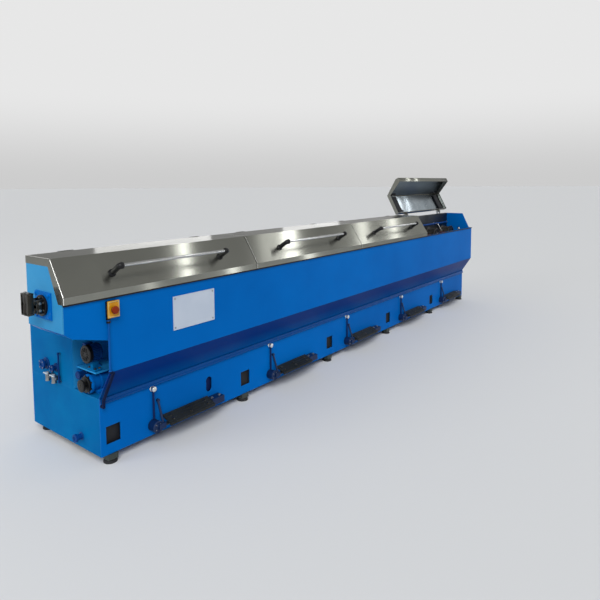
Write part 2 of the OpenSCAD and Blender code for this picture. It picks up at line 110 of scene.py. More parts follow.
def makeWorld(values):
    # A pale sky that dims a little at the horizon and again overhead; its heights are sines of the angle
    world = bpy.data.worlds.new("paleRoom")
    bpy.context.scene.world = world
    world.use_nodes = True
    tree = world.node_tree
    tree.nodes.clear()
    place = addNode(tree, "ShaderNodeTexCoord")
    height = addNode(tree, "ShaderNodeSeparateXYZ", {0: place.outputs["Generated"]}).outputs["Z"]
    low, high = values["fade"]
    overhead = addNode(tree, "ShaderNodeMapRange", {
        "Value": height, "From Min": low, "From Max": high, "To Min": values["backdrop"], "To Max": values["overhead"]})
    horizon = addNode(tree, "ShaderNodeMapRange", {
        "Value": height, "From Min": 0, "From Max": values["horizonTop"], "To Min": values["horizon"]},
        interpolation_type="SMOOTHSTEP")
    strength = multiplied(tree, overhead.outputs[0], horizon.outputs[0])
    background = addNode(tree, "ShaderNodeBackground", {"Color": (1, 1, 1, 1), "Strength": strength})
    addNode(tree, "ShaderNodeOutputWorld", {"Surface": background.outputs[0]})


def makeFloor(values):
    shape = bmesh.new()
    bmesh.ops.create_grid(shape, x_segments=1, y_segments=1, size=values["floorSize"] / 2)
    mesh = bpy.data.meshes.new("floor")
    shape.to_mesh(mesh)
    shape.free()
    floor = bpy.data.objects.new("floor", mesh)
    bpy.context.scene.collection.objects.link(floor)
    finish = bpy.data.materials.new("paleFloor")
    finish.use_nodes = True
    surface = finish.node_tree.nodes["Principled BSDF"]
    surface.inputs["Base Color"].default_value = tone(*values["floor"])
    surface.inputs["Roughness"].default_value = values["floorRough"]
    mesh.materials.append(finish)


lamps = {
    # Where it stands, what it points at, width and height in metres, power in watts.
    # All but the soft box show in reflections only.
    "stripNear": ((4363, -2742, 4810), (540, -85, 1026), 0.13, 3.2, 12),
    "stripSoft": ((5772, -2386, 4258), (1305, -90, 1017), 0.34, 3, 4.2),
    "stripMiddle": ((6170, -2287, 4105), (1520, -92, 1014), 0.24, 3, 17),
    "stripFar": ((7687, -1894, 3551), (2557, -92, 1014), 0.2, 2.6, 7),
    "stripLast": ((8430, -1708, 3327), (3132, -86, 1023), 0.13, 2.6, 7),
    "wallNear": ((4047, 4868, 1925), (465, 110, 1145), 1.9, 1.8, 31),
    "wallFar": ((6836, 3650, 1745), (2030, 110, 1145), 1.1, 1.8, 14),
    "lipNear": ((2539, -3305, 650), (230, -122, 951), 0.12, 0.9, 1),
    "lipMiddle": ((3637, -2927, 650), (860, -122, 951), 0.14, 0.9, 2.4),
    "lipFar": ((4838, -2502, 650), (1670, -122, 951), 0.14, 0.9, 1.8),
    "leftSoftbox": ((-8900, 3700, 5000), (0, 300, 900), 6, 3.2, 300),
}
skylight = {"place": (0, 0, 3), "from": (-0.5, -0.56, 0.7), "strength": 2.3, "angle": 34}


def aim(lamp, place, towards):
    # The lamp's long side stands square to the machine's length, so that the lids show it as an upright streak
    back = -towards.normalized()
    tall = back.cross((1, 0, 0)).normalized()
    tall = tall if tall.z > 0 else -tall
    lamp.matrix_world = Matrix.Translation(place) @ Matrix((tall.cross(back), tall, back)).transposed().to_4x4()
    lamp.visible_camera = False
    bpy.context.scene.collection.objects.link(lamp)


def makeLamps(values, sky):
    for name, (place, target, width, height, power) in values.items():
        light = bpy.data.lights.new(name, "AREA")
        light.shape = "RECTANGLE"
        light.size = width
        light.size_y = height
        light.energy = power
        lamp = bpy.data.objects.new(name, light)
        lamp.visible_diffuse = name == "leftSoftbox"
        aim(lamp, spot(*place), spot(*target) - spot(*place))
    light = bpy.data.lights.new("skylight", "SUN")
    light.energy = sky["strength"]
    light.angle = math.radians(sky["angle"])
    aim(bpy.data.objects.new("skylight", light), Vector(sky["place"]), -Vector(sky["from"]))


makeWorld(room)
makeFloor(room)
makeLamps(lamps, skylight)

print("finishes")


def newGroup(name, inputs, colours=(), numbers=()):
    # Inputs with their first values, where four parts are a colour, and the names of the outputs of each kind
    group = bpy.data.node_groups.new(name, "ShaderNodeTree")
    for label, value in inputs.items():
        kind = "NodeSocketColor" if isinstance(value, tuple) else "NodeSocketFloat"
        group.interface.new_socket(label, in_out="INPUT", socket_type=kind).default_value = value
    for kind, labels in (("NodeSocketColor", colours), ("NodeSocketFloat", numbers)):
        for label in labels:
            group.interface.new_socket(label, in_out="OUTPUT", socket_type=kind)
    return group, group.nodes.new("NodeGroupInput").outputs, group.nodes.new("NodeGroupOutput").inputs


def mixColour(tree, factor, first, second):
    # Socket 0 is the factor, 6 and 7 are the colours and output 2 is the mixed one
    return addNode(tree, "ShaderNodeMix", {0: factor, 6: first, 7: second}, data_type="RGBA").outputs[2]


def makeEdgeWear():
    # Brightens or bares the colour where a rounded normal differs from the flat one
    group, given, result = newGroup("edgeWear", {
        "Colour": (0.5, 0.5, 0.5, 1), "Edge Colour": (1, 1, 1, 1), "Radius": 0.003, "Amount": 0.5}, ["Colour"])
    rounded = addNode(group, "ShaderNodeBevel", {"Radius": given["Radius"]}, samples=4)
    flat = addNode(group, "ShaderNodeNewGeometry")
    same = addNode(group, "ShaderNodeVectorMath", {0: rounded.outputs[0], 1: flat.outputs["Normal"]},
                   operation="DOT_PRODUCT")
    edge = addNode(group, "ShaderNodeMapRange", {"Value": same.outputs["Value"], "From Min": 0.995, "From Max": 0.86})
    place = addNode(group, "ShaderNodeTexCoord")
    chips = addNode(group, "ShaderNodeTexNoise", {
        "Vector": place.outputs["Object"], "Scale": 22, "Detail": 5, "Roughness": 0.6})
    broken = addNode(group, "ShaderNodeMapRange", {"Value": chips.outputs[0], "From Min": 0.35, "From Max": 0.68})
    mask = multiplied(group, multiplied(group, edge.outputs[0], broken.outputs[0]), given["Amount"])
    group.links.new(mixColour(group, mask, given["Colour"], given["Edge Colour"]), result["Colour"])
    return group


def makeDust():
    # Pale dust in soft patches, most of it low on the machine
    group, given, result = newGroup("dustFilm", {
        "Colour": (0.5, 0.5, 0.5, 1), "Dust Colour": tone(150, 150, 145), "Amount": 0.2, "Low Height": 0.3}, ["Colour"])
    place = addNode(group, "ShaderNodeTexCoord")
    height = addNode(group, "ShaderNodeSeparateXYZ", {0: place.outputs["Object"]}).outputs["Z"]
    low = addNode(group, "ShaderNodeMapRange", {
        "Value": height, "From Min": 0.03, "From Max": given["Low Height"], "To Min": 1, "To Max": 0.12})
    patches = addNode(group, "ShaderNodeTexNoise", {
        "Vector": place.outputs["Object"], "Scale": 3.4, "Detail": 6, "Roughness": 0.62})
    soft = addNode(group, "ShaderNodeMapRange", {"Value": patches.outputs[0], "From Min": 0.36, "From Max": 0.72})
    both = multiplied(group, low.outputs[0], soft.outputs[0])
    mask = multiplied(group, both, given["Amount"], use_clamp=True)
    group.links.new(mixColour(group, mask, given["Colour"], given["Dust Colour"]), result["Colour"])
    return group


def makeGrain():
    # Drifting shade, a roughness that follows it and a fine height; stretch above 1 draws the grain out lengthwise
    group, given, result = newGroup("surfaceGrain", {
        "Colour": (0.5, 0.5, 0.5, 1), "Shade": (0.4, 0.4, 0.4, 1), "Patch Scale": 2, "Grain Scale": 300, "Stretch": 1,
        "Grain Amount": 0.1, "Smooth": 0.3, "Rough": 0.45}, ["Colour"], ["Roughness", "Height"])
    place = addNode(group, "ShaderNodeTexCoord").outputs["Object"]
    parts = addNode(group, "ShaderNodeSeparateXYZ", {0: place}).outputs
    along = addNode(group, "ShaderNodeMath", {0: parts["X"], 1: given["Stretch"]}, operation="DIVIDE")
    drawn = addNode(group, "ShaderNodeCombineXYZ", {"X": along.outputs[0], "Y": parts["Y"], "Z": parts["Z"]})
    patches = addNode(group, "ShaderNodeTexNoise", {
        "Vector": place, "Scale": given["Patch Scale"], "Detail": 4, "Roughness": 0.55})
    grain = addNode(group, "ShaderNodeTexNoise", {
        "Vector": drawn.outputs[0], "Scale": given["Grain Scale"], "Detail": 3, "Roughness": 0.6}).outputs[0]
    soft = addNode(group, "ShaderNodeMapRange", {
        "Value": patches.outputs[0], "From Min": 0.35, "From Max": 0.68}).outputs[0]
    shaded = mixColour(group, soft, given["Colour"], given["Shade"])
    flecked = mixColour(group, multiplied(group, grain, given["Grain Amount"]), shaded, given["Shade"])
    mixed = addNode(group, "ShaderNodeMath", {0: soft, 1: 0.5, 2: multiplied(group, grain, 0.5)},
                    operation="MULTIPLY_ADD")
    rough = addNode(group, "ShaderNodeMapRange", {
        "Value": mixed.outputs[0], "To Min": given["Smooth"], "To Max": given["Rough"]})
    group.links.new(flecked, result["Colour"])
    group.links.new(rough.outputs[0], result["Roughness"])
    group.links.new(grain, result["Height"])
    return group


edgeWear, dustFilm, surfaceGrain = makeEdgeWear(), makeDust(), makeGrain()


def makeFinish(name, values):
    # A value that is left out takes the one given here
    finish = bpy.data.materials.new(name)
    finish.use_nodes = True
    tree = finish.node_tree
    surface = tree.nodes["Principled BSDF"]
    smooth, rough = values["rough"]
    grain = addNode(tree, "ShaderNodeGroup", {
        "Colour": tone(*values["colour"]), "Shade": tone(*values["shade"]), "Patch Scale": values["patches"],
        "Grain Scale": values.get("grain", 300), "Stretch": values.get("stretch", 1),
        "Grain Amount": values.get("fleck", 0.1), "Smooth": smooth, "Rough": rough}, node_tree=surfaceGrain)
    worn = addNode(tree, "ShaderNodeGroup", {
        "Colour": grain.outputs["Colour"], "Edge Colour": tone(*values.get("edge", values["colour"])),
        "Amount": values.get("wear", 0)}, node_tree=edgeWear)
    dusty = addNode(tree, "ShaderNodeGroup", {
        "Colour": worn.outputs["Colour"], "Amount": values.get("dust", 0), "Low Height": values.get("dustTo", 0.5)},
        node_tree=dustFilm)
    bump = addNode(tree, "ShaderNodeBump", {
        "Height": grain.outputs["Height"], "Strength": values["bump"], "Distance": values.get("depth", 0.0003)})
    shown = dusty.outputs["Colour"]
    if "above" in values:
        # Between two heights in metres the colour passes into another one
        low, high, upper = values["above"]
        place = addNode(tree, "ShaderNodeTexCoord")
        height = addNode(tree, "ShaderNodeSeparateXYZ", {0: place.outputs["Object"]}).outputs["Z"]
        over = addNode(tree, "ShaderNodeMapRange", {"Value": height, "From Min": low, "From Max": high})
        shown = mixColour(tree, over.outputs[0], shown, tone(*upper))
    tree.links.new(shown, surface.inputs["Base Color"])
    tree.links.new(grain.outputs["Roughness"], surface.inputs["Roughness"])
    tree.links.new(bump.outputs[0], surface.inputs["Normal"])
    surface.inputs["Metallic"].default_value = values.get("metal", 0)
    surface.inputs["Specular IOR Level"].default_value = values.get("gloss", 0.5)
    if "tint" in values:
        surface.inputs["Specular Tint"].default_value = tone(*values["tint"])
    if "brushed" in values:
        surface.inputs["Anisotropic"].default_value = values["brushed"]
        surface.inputs["Anisotropic Rotation"].default_value = 0.25
        lengthwise = addNode(tree, "ShaderNodeCombineXYZ", {"X": 1, "Z": 0.02})
        tree.links.new(lengthwise.outputs[0], surface.inputs["Tangent"])
    return finish


finishValues = {
    "bluePaint": {"colour": (0, 97, 177), "shade": (0, 86, 162), "rough": (0.24, 0.4), "patches": 1.3, "grain": 260,
                  "fleck": 0.12, "bump": 0.1, "wear": 0.4, "edge": (50, 140, 205), "gloss": 0.02},
    # The inlet head plate's paint is a paler copy of the blue, as painted light for the light it catches from the left
    "litHeadPlatePaint": {"colour": (54, 138, 186), "shade": (38, 124, 176), "rough": (0.3, 0.46), "patches": 2.2,
                      "bump": 0.1, "wear": 0.4, "edge": (130, 180, 206), "gloss": 0.05},
    "endPaint": {"colour": (0, 82, 142), "shade": (4, 102, 158), "rough": (0.34, 0.52), "patches": 3, "bump": 0.12,
                 "wear": 0.4, "edge": (70, 150, 200), "gloss": 0.01},
    # The edge bar's paint is darker than the base's blue as painted shade, where the skylight lights its top
    "shadedBeadPaint": {"colour": (2, 68, 134), "shade": (2, 58, 120), "rough": (0.2, 0.34), "patches": 2, "bump": 0.06,
                  "wear": 0.3, "edge": (20, 100, 172), "gloss": 0.12},
    # The bay's paint is lightened as painted light, standing in for the light its shaded walls lack
    "litBayPaint": {"colour": (40, 146, 208), "shade": (26, 130, 196), "rough": (0.32, 0.5), "patches": 4, "bump": 0.12,
                 "wear": 0.2, "edge": (90, 170, 214), "gloss": 0.05, "dust": 0.03, "dustTo": 0.9},
    # The sloped band's paint is darker than the front's as painted shade, since the band faces down; below 0.36 m it is
    # lighter as a painted reflection of the floor, passing into the darker colour by 0.465 m
    "bandShadeAndReflection": {"colour": (0, 84, 154), "shade": (0, 74, 140), "rough": (0.26, 0.42), "patches": 1.1, "bump": 0.1,
                  "wear": 0.3, "edge": (60, 130, 190), "gloss": 0.03, "above": (0.36, 0.465, (0, 48, 120))},
    "navyPaint": {"colour": (2, 60, 126), "shade": (2, 46, 102), "rough": (0.34, 0.55), "patches": 6, "bump": 0.2,
                  "wear": 0.4, "edge": (60, 110, 160), "gloss": 0.1},
    "hubPaint": {"colour": (4, 34, 76), "shade": (4, 25, 58), "rough": (0.36, 0.56), "patches": 9, "bump": 0.2,
                 "wear": 0.5, "edge": (60, 84, 116), "gloss": 0.3},
    "brushedSteel": {"colour": (152, 153, 145), "shade": (136, 137, 130), "rough": (0.17, 0.2), "patches": 1.6,
                     "grain": 420, "stretch": 60, "fleck": 0.5, "bump": 0.004, "depth": 0.00005, "metal": 1,
                     "brushed": 1, "tint": (188, 188, 188)},
    "linerSteel": {"colour": (130, 140, 148), "shade": (118, 127, 135), "rough": (0.34, 0.42), "patches": 3,
                   "grain": 420, "stretch": 40, "fleck": 0.5, "bump": 0.01, "depth": 0.00005, "metal": 1,
                   "brushed": 0.8, "tint": (150, 150, 150)},
    "innerSteel": {"colour": (190, 200, 206), "shade": (162, 172, 178), "rough": (0.2, 0.3), "patches": 5,
                   "grain": 420, "stretch": 40, "fleck": 0.5, "bump": 0.01, "depth": 0.00005, "metal": 1,
                   "brushed": 1, "tint": (170, 170, 170)},
    # Near-white steel, brighter than the lids' own, as a painted highlight on the lids' hems and the switch glands
    "highlightSteel": {"colour": (240, 240, 236), "shade": (222, 222, 218), "rough": (0.34, 0.46), "patches": 8,
                 "grain": 500, "fleck": 0.2, "bump": 0.05, "depth": 0.00005, "metal": 1},
    # The chamber's steel is darkened as painted shade inside the chamber; its dust is real
    "shadedChamberSteel": {"colour": (82, 84, 84), "shade": (56, 58, 58), "rough": (0.32, 0.5), "patches": 4, "grain": 300,
                     "stretch": 12, "fleck": 0.5, "bump": 0.2, "metal": 1, "dust": 0.12, "dustTo": 0.9},
    "tubeSteel": {"colour": (196, 197, 196), "shade": (176, 178, 178), "rough": (0.1, 0.2), "patches": 9,
                  "grain": 500, "stretch": 20, "fleck": 0.3, "bump": 0.08, "depth": 0.00008, "metal": 1},
    "plainSteel": {"colour": (168, 170, 170), "shade": (132, 134, 134), "rough": (0.24, 0.4), "patches": 20,
                   "grain": 600, "fleck": 0.4, "bump": 0.2, "depth": 0.0001, "metal": 1},
    "wornSteel": {"colour": (96, 95, 92), "shade": (58, 56, 54), "rough": (0.28, 0.52), "patches": 14, "grain": 420,
                  "fleck": 0.5, "bump": 0.25, "metal": 1},
    "redOxide": {"colour": (92, 34, 30), "shade": (62, 22, 20), "rough": (0.4, 0.62), "patches": 16, "grain": 500,
                 "fleck": 0.3, "bump": 0.3, "wear": 0.6, "edge": (140, 96, 84)},
    "blackPlastic": {"colour": (12, 13, 16), "shade": (20, 21, 22), "rough": (0.3, 0.44), "patches": 18, "grain": 900,
                     "fleck": 0.3, "bump": 0.25, "depth": 0.0002, "wear": 0.2, "edge": (60, 60, 60), "gloss": 0.25},
    "navyCable": {"colour": (4, 30, 82), "shade": (4, 24, 66), "rough": (0.5, 0.7), "patches": 12, "grain": 700,
                  "fleck": 0.3, "bump": 0.3, "gloss": 0.15},
    "stopCable": {"colour": (2, 20, 58), "shade": (2, 15, 46), "rough": (0.5, 0.7), "patches": 12, "grain": 700,
                  "fleck": 0.3, "bump": 0.3, "gloss": 0.1, "above": (0.55, 0.552, (0, 76, 148))},
    "blackRubber": {"colour": (10, 12, 18), "shade": (18, 20, 26), "rough": (0.56, 0.78), "patches": 12, "grain": 700,
                    "fleck": 0.3, "bump": 0.35, "gloss": 0.25, "dust": 0.06, "dustTo": 0.3},
    "blackSteel": {"colour": (14, 20, 22), "shade": (10, 15, 16), "rough": (0.36, 0.58), "patches": 11, "grain": 600,
                   "fleck": 0.3, "bump": 0.3, "wear": 0.5, "edge": (70, 80, 78), "gloss": 0.25, "dust": 0.06,
                   "dustTo": 0.4},
    "agedSteel": {"colour": (74, 72, 66), "shade": (44, 43, 40), "rough": (0.3, 0.5), "patches": 18, "grain": 600,
                  "fleck": 0.4, "bump": 0.25, "metal": 1, "wear": 0.7, "edge": (176, 176, 170)},
    "paleLever": {"colour": (186, 198, 206), "shade": (164, 178, 188), "rough": (0.3, 0.46), "patches": 20,
                  "grain": 700, "fleck": 0.2, "bump": 0.15, "wear": 0.4, "edge": (220, 226, 230)},
    # The feet's green steel is darkened as painted shade under the machine
    "shadedGreenSteel": {"colour": (30, 44, 40), "shade": (18, 30, 28), "rough": (0.45, 0.66), "patches": 15, "grain": 500,
                   "fleck": 0.3, "bump": 0.3, "wear": 0.6, "edge": (84, 96, 90), "dust": 0.1},
    "yellowPlastic": {"colour": (196, 138, 10), "shade": (182, 122, 4), "rough": (0.28, 0.4), "patches": 20,
                      "grain": 900, "fleck": 0.1, "bump": 0.1, "wear": 0.5, "edge": (220, 196, 130), "gloss": 0.3},
    # A pale yellow for the stop switch cover's rim, as a painted highlight along its bevel
    "rimHighlightYellow": {"colour": (188, 166, 104), "shade": (174, 150, 84), "rough": (0.3, 0.4), "patches": 20,
                  "grain": 900, "fleck": 0.1, "bump": 0.1, "gloss": 0.3},
    "redPlastic": {"colour": (126, 40, 2), "shade": (112, 30, 0), "rough": (0.24, 0.36), "patches": 25, "grain": 900,
                   "fleck": 0.1, "bump": 0.1, "gloss": 0.2},
    "signFace": {"colour": (176, 186, 200), "shade": (166, 177, 193), "rough": (0.3, 0.42), "patches": 5,
                 "grain": 700, "fleck": 0.15, "bump": 0.06},
}
finishes = {name: makeFinish(name, values) for name, values in finishValues.items()}

nodeFinishes = {
    "bluePaint": ["base_front", "base_frame", "outlet_end_plate", "front_panel", "inlet_nose",
                  "gear_housing", "inlet_bracket"],
    "endPaint": ["inlet_end_plate", "base_deck"],
    "litBayPaint": ["pump_bay"],
    "shadedBeadPaint": ["edge_bar"],
    "hubPaint": ["switch_hubs"],
    "litHeadPlatePaint": ["inlet_head_plate"],
    "bandShadeAndReflection": ["sloped_band"],
    "navyPaint": ["pump_motor", "pump_body", "coolant_pipes", "drain_pipe"],
    "brushedSteel": ["lid_ribs"] + [f"lid_{i}" for i in range(1, 5)],
    "shadedChamberSteel": ["chamber_floor", "bearing_plate"],
    "plainSteel": ["lid_hinges", "inlet_rollers", "coolant_valves"],
    "highlightSteel": ["cable_glands"],
    "tubeSteel": [f"lid_handle_{i}" for i in range(1, 5)],
    "wornSteel": ["capstans"],
    "redOxide": ["die_holders"],
    "blackRubber": ["foot_pads"],
    "navyCable": ["switch_cables"],
    "stopCable": ["e_stop_cable"],
    "blackPlastic": ["wire_flanges"],
    "blackSteel": [f"foot_bar_{i}" for i in range(1, 6)],
    "shadedGreenSteel": ["foot_blocks"],
    "yellowPlastic": ["e_stop_box"],
    "redPlastic": ["e_stop_button"],
    "signFace": ["sign_plate"],
}
for finishName, members in nodeFinishes.items():
    for member in members:
        slots = nodes[member].data.materials
        slots.clear()
        slots.append(finishes[finishName])

print("shape helpers")


def soften(shape, edges, width, steps=2):
    bmesh.ops.bevel(shape, geom=list(edges), offset=width, offset_type="OFFSET", segments=steps, profile=0.5,
                    affect="EDGES", clamp_overlap=True, material=-1)


def giveFinish(verts, finish):
    for vert in verts:
        for face in vert.link_faces:
            face.material_index = finish


def placed(start, towards):
    # A matrix that stands the local Z axis at start, pointing towards
    return Matrix.Translation(Vector(start)) @ Vector(towards).to_track_quat("Z", "Y").to_matrix().to_4x4()


def addBlock(shape, low, high, edge=1.5, finish=0, turn=Matrix()):
    low, high = Vector(low), Vector(high)
    verts = bmesh.ops.create_cube(shape, size=1)["verts"]
    fit = Matrix.Translation((low + high) / 2) @ Matrix.Diagonal((*(high - low), 1))
    bmesh.ops.transform(shape, verts=verts, matrix=turn @ fit)
    giveFinish(verts, finish)
    if edge:
        soften(shape, {side for vert in verts for side in vert.link_edges}, edge)


def addRod(shape, start, end, radius, sides=24, edge=1, finish=0):
    start, end = Vector(start), Vector(end)
    matrix = placed((start + end) / 2, end - start)
    verts = bmesh.ops.create_cone(shape, cap_ends=True, segments=sides, radius1=radius, radius2=radius,
                                  depth=(end - start).length, matrix=matrix)["verts"]
    giveFinish(verts, finish)
    if edge:
        rims = {side for vert in verts for face in vert.link_faces if len(face.verts) == sides for side in face.edges}
        soften(shape, rims, edge)


def addTurned(shape, profile, start, towards, steps=36, finish=0, closed=False):
    # The profile's pairs are a length along the axis and a radius; a closed one makes a ring
    before = set(shape.verts)
    verts = [shape.verts.new((max(radius, 0), 0, length)) for length, radius in profile]
    loop = zip(verts, verts[1:] + (verts[:1] if closed else []))
    edges = [shape.edges.new(pair) for pair in loop]
    bmesh.ops.spin(shape, geom=verts + edges, cent=(0, 0, 0), axis=(0, 0, 1), dvec=(0, 0, 0), angle=2 * math.pi,
                   steps=steps, use_merge=True, use_normal_flip=False, use_duplicate=False)
    bmesh.ops.remove_doubles(shape, verts=[vert for vert in shape.verts if vert not in before], dist=0.001)
    made = [vert for vert in shape.verts if vert not in before]
    bmesh.ops.transform(shape, verts=made, matrix=placed(start, towards))
    giveFinish(made, finish)


def bentPath(corners, bend, steps=6):
    # Straight runs between the corners with a round bend at each one between the ends
    corners = [Vector(corner) for corner in corners]
    path = [corners[0]]
    for before, corner, after in zip(corners, corners[1:], corners[2:]):
        first = corner + (before - corner).normalized() * bend
        last = corner + (after - corner).normalized() * bend
        for step in range(steps + 1):
            part = step / steps
            path.append(first * (1 - part) ** 2 + corner * 2 * part * (1 - part) + last * part ** 2)
    return path + [corners[-1]]


def addTube(shape, path, radius, sides=16, finish=0):
    # Rings along the path, bridged one to the next; radius is one number or one for each point
    points = [Vector(point) for point in path]
    radii = radius if isinstance(radius, list) else [radius] * len(points)
    rings, side = [], None
    for index, point in enumerate(points):
        ahead = (points[min(index + 1, len(points) - 1)] - points[max(index - 1, 0)]).normalized()
        side = side or ahead.orthogonal()
        side = (side - ahead * side.dot(ahead)).normalized()
        matrix = Matrix.Translation(point) @ Matrix((side, ahead.cross(side), ahead)).transposed().to_4x4()
        rings.append(bmesh.ops.create_circle(shape, cap_ends=index in (0, len(points) - 1), segments=sides,
                                             radius=radii[index], matrix=matrix)["verts"])
    for first, second in zip(rings, rings[1:]):
        loops = {edge for ring in (first, second) for vert in ring for edge in vert.link_edges
                 if set(edge.verts) <= set(ring)}
        bmesh.ops.bridge_loops(shape, edges=list(loops))
    giveFinish([vert for ring in rings for vert in ring], finish)


def ringOf(count, radius, turn=0):
    # Even places around a circle, as two offsets from its middle
    angles = [turn + 2 * math.pi * index / count for index in range(count)]
    return [(radius * math.cos(angle), radius * math.sin(angle)) for angle in angles]


def addBolt(shape, place, towards, across=13, height=6, washer=True, finish=0):
    # A hexagon head on a washer, sunk a little into what it stands on; across is over its flats
    towards, place = Vector(towards).normalized(), Vector(place)
    base = place - towards * 0.4
    if washer:
        addRod(shape, base, place + towards * 1.6, across * 0.86, sides=20, edge=0.5, finish=finish)
    addRod(shape, base, place + towards * height, across / math.sqrt(3), sides=6, edge=across * 0.06, finish=finish)


def addScrew(shape, place, towards, radius=4, height=2.2, finish=0):
    # A low round head with a dimple
    addTurned(shape, [(-0.4, 0), (-0.4, radius), (height * 0.45, radius * 0.96), (height * 0.85, radius * 0.62),
                      (height, radius * 0.3), (height * 0.55, radius * 0.24), (height * 0.55, 0)],
              place, towards, steps=16, finish=finish)


def makePiece(name, shape, finishNames, body, replaced=(), turn=None):
    # Brings the millimetres into the frame, then hangs the piece on its body
    if turn:
        bmesh.ops.transform(shape, verts=shape.verts, matrix=turn)
    bmesh.ops.transform(shape, verts=shape.verts, matrix=Matrix.Translation(startCorner) @ Matrix.Scale(0.001, 4))
    bmesh.ops.recalc_face_normals(shape, faces=shape.faces)
    mesh = bpy.data.meshes.new(name)
    shape.to_mesh(mesh)
    shape.free()
    for finishName in finishNames:
        mesh.materials.append(finishes[finishName])
    mesh.polygons.foreach_set("use_smooth", [True] * len(mesh.polygons))
    mesh.set_sharp_from_angle(angle=math.radians(32))
    piece = bpy.data.objects.new(name, mesh)
    bpy.context.scene.collection.objects.link(piece)
    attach(piece, body)
    if replaced:
        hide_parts(*replaced)


# Places that several pieces share
mainLength, bays, bayPitch = 5150, 5, 1030
lidCount, lidPitch, lidStart = 4, 1347.5, -240
faceOut = Vector((0, -0.839, 0.545))  # square to the lids' slope
hingeLine = Vector((0, 243, 1137))
openAngle = math.radians(-118)
alongX, upward = Vector((1, 0, 0)), Vector((0, 0, 1))
forward, backward = Vector((0, -1, 0)), Vector((0, 1, 0))


def lidTurn(number):
    # The last lid stands open, so its pieces are made closed and turned about the hinge
    if number < lidCount:
        return None
    return Matrix.Translation(hingeLine) @ Matrix.Rotation(openAngle, 4, "X") @ Matrix.Translation(-hingeLine)


print("lid handles")
handle = {"length": 760, "foot": (0, -73, 1043.5), "reach": 82, "bend": 14.7, "stem": 14.5, "elbow": 17, "widens": 6,
          "sleeve": 15, "tube": 8.6, "tubeIn": 12, "flange": 22, "flangeThick": 8}


def makeHandle(number, values):
    # Two black elbows on round flanges, each with a collar, and a bright tube between them
    shape = bmesh.new()
    middle = lidStart + (number - 0.5) * lidPitch
    length, flange, plate = values["length"], values["flange"], values["flangeThick"]
    stem, elbow = values["stem"], values["elbow"]
    for side in (-1, 1):
        foot = Vector(values["foot"]) + alongX * (middle + side * length / 2)
        corner = foot + faceOut * values["reach"]
        inner = corner - alongX * side * values["sleeve"]
        path = bentPath([foot + faceOut * 2, corner, inner], values["bend"], 10)
        radii = [stem + (elbow - stem) * min(1, index / values["widens"]) for index in range(len(path))]
        addTube(shape, path, radii, sides=24, finish=1)
        addTurned(shape, [(0.3, 0), (0.3, flange), (plate * 0.55, flange * 0.98), (plate * 0.9, flange * 0.84),
                          (plate * 1.5, stem + 1), (plate * 1.7, 0)], foot, faceOut, steps=32, finish=1)
        addTurned(shape, [(0, 0), (0, elbow + 0.6), (1, elbow + 1.1), (9, elbow + 1.1), (10, elbow + 0.2), (10, 0)],
                  inner - alongX * side * 4, alongX * side, steps=28, finish=1)
    left = Vector(values["foot"]) + faceOut * values["reach"] + alongX * (middle - length / 2 + values["tubeIn"])
    addRod(shape, left, left + alongX * (length - 2 * values["tubeIn"]), values["tube"], sides=32, edge=0)
    makePiece(f"lidHandle{number}", shape, ["tubeSteel", "blackPlastic"], f"cover_{number}",
              [f"lid_handle_{number}"], lidTurn(number))


for lidNumber in range(1, lidCount + 1):
    makeHandle(lidNumber, handle)

print("stop switch")
stopSwitch = {"low": (-17, -138, 828), "high": (50, -110, 914), "coverThick": 9, "rim": 6, "dish": 2, "screwIn": 8,
              "button": (16.5, 868), "buttonRadius": 20, "gap": 6, "gland": (-8, -124, 828)}


def makeStopSwitch(values):
    # A black box under a yellow cover whose rim is painted pale as a highlight, a push button and a cable gland
    (left, face, bottom), (right, back, top) = values["low"], values["high"]
    coverBack = face + values["coverThick"]
    shape = bmesh.new()
    addBlock(shape, (left + 1.5, coverBack - 1, bottom + 1.5), (right - 1.5, back, top - 1.5), 3, finish=1)
    before = set(shape.faces)
    addBlock(shape, values["low"], (right, coverBack, top), 2.5)
    front = max((face for face in shape.faces if face not in before and face.normal.y < -0.99),
                key=lambda face: face.calc_area())
    for rim in bmesh.ops.inset_region(shape, faces=[front], thickness=values["rim"], depth=0)["faces"]:
        rim.material_index = 3
    bmesh.ops.inset_region(shape, faces=[front], thickness=1.6, depth=-values["dish"])
    x, z = values["button"]
    seat = face + values["dish"]
    addTurned(shape, [(-0.3, 9), (3.5, 9), (4.4, 10), (4.4, 12.5), (3.2, 14.5), (-0.3, 15)], (x, seat, z), forward,
              steps=36, finish=1, closed=True)
    for across in (left + values["screwIn"], right - values["screwIn"]):
        for height in (bottom + values["screwIn"], top - values["screwIn"]):
            addScrew(shape, (across, seat + 0.2, height), forward, 3.2, 1.6, finish=2)
    makePiece("stopHousing", shape, ["yellowPlastic", "blackPlastic", "plainSteel", "rimHighlightYellow"], "machine",
              ["e_stop_box"])
    shape = bmesh.new()
    radius = values["buttonRadius"]
    addTurned(shape, [(0, 0), (0, 5), (5, 5), (6, 6), (6, 15.5), (5, 16.5), (0.4, 16.5), (0, 17), (0, radius - 1.2),
                      (1, radius - 0.2), (2, radius), (9, radius), (10, radius - 0.8), (11, radius - 0.4),
                      (13.5, radius - 1.8), (15.2, radius - 6), (15.9, radius - 12), (16, 0)],
              (x, face - values["gap"], z), forward, steps=48)
    makePiece("stopButton", shape, ["redPlastic"], "e_stop", ["e_stop_button"])
    shape = bmesh.new()
    x, y, z = values["gland"]
    addRod(shape, (x, y, z - 10), (x, y, z + 0.5), 11.5, sides=6, edge=0.8)
    addTurned(shape, [(0, 5.5), (0, 9.5), (2, 10.6), (9, 10.6), (11, 9.6), (11, 5.5)], (x, y, z - 26), upward,
              steps=24, closed=True)
    makePiece("stopGland", shape, ["blackPlastic"], "machine")


makeStopSwitch(stopSwitch)

print("sign")
sign = {"low": (409, 666.5), "high": (724, 861.5), "face": -113, "border": 5, "proud": 1.2, "screwIn": 14}


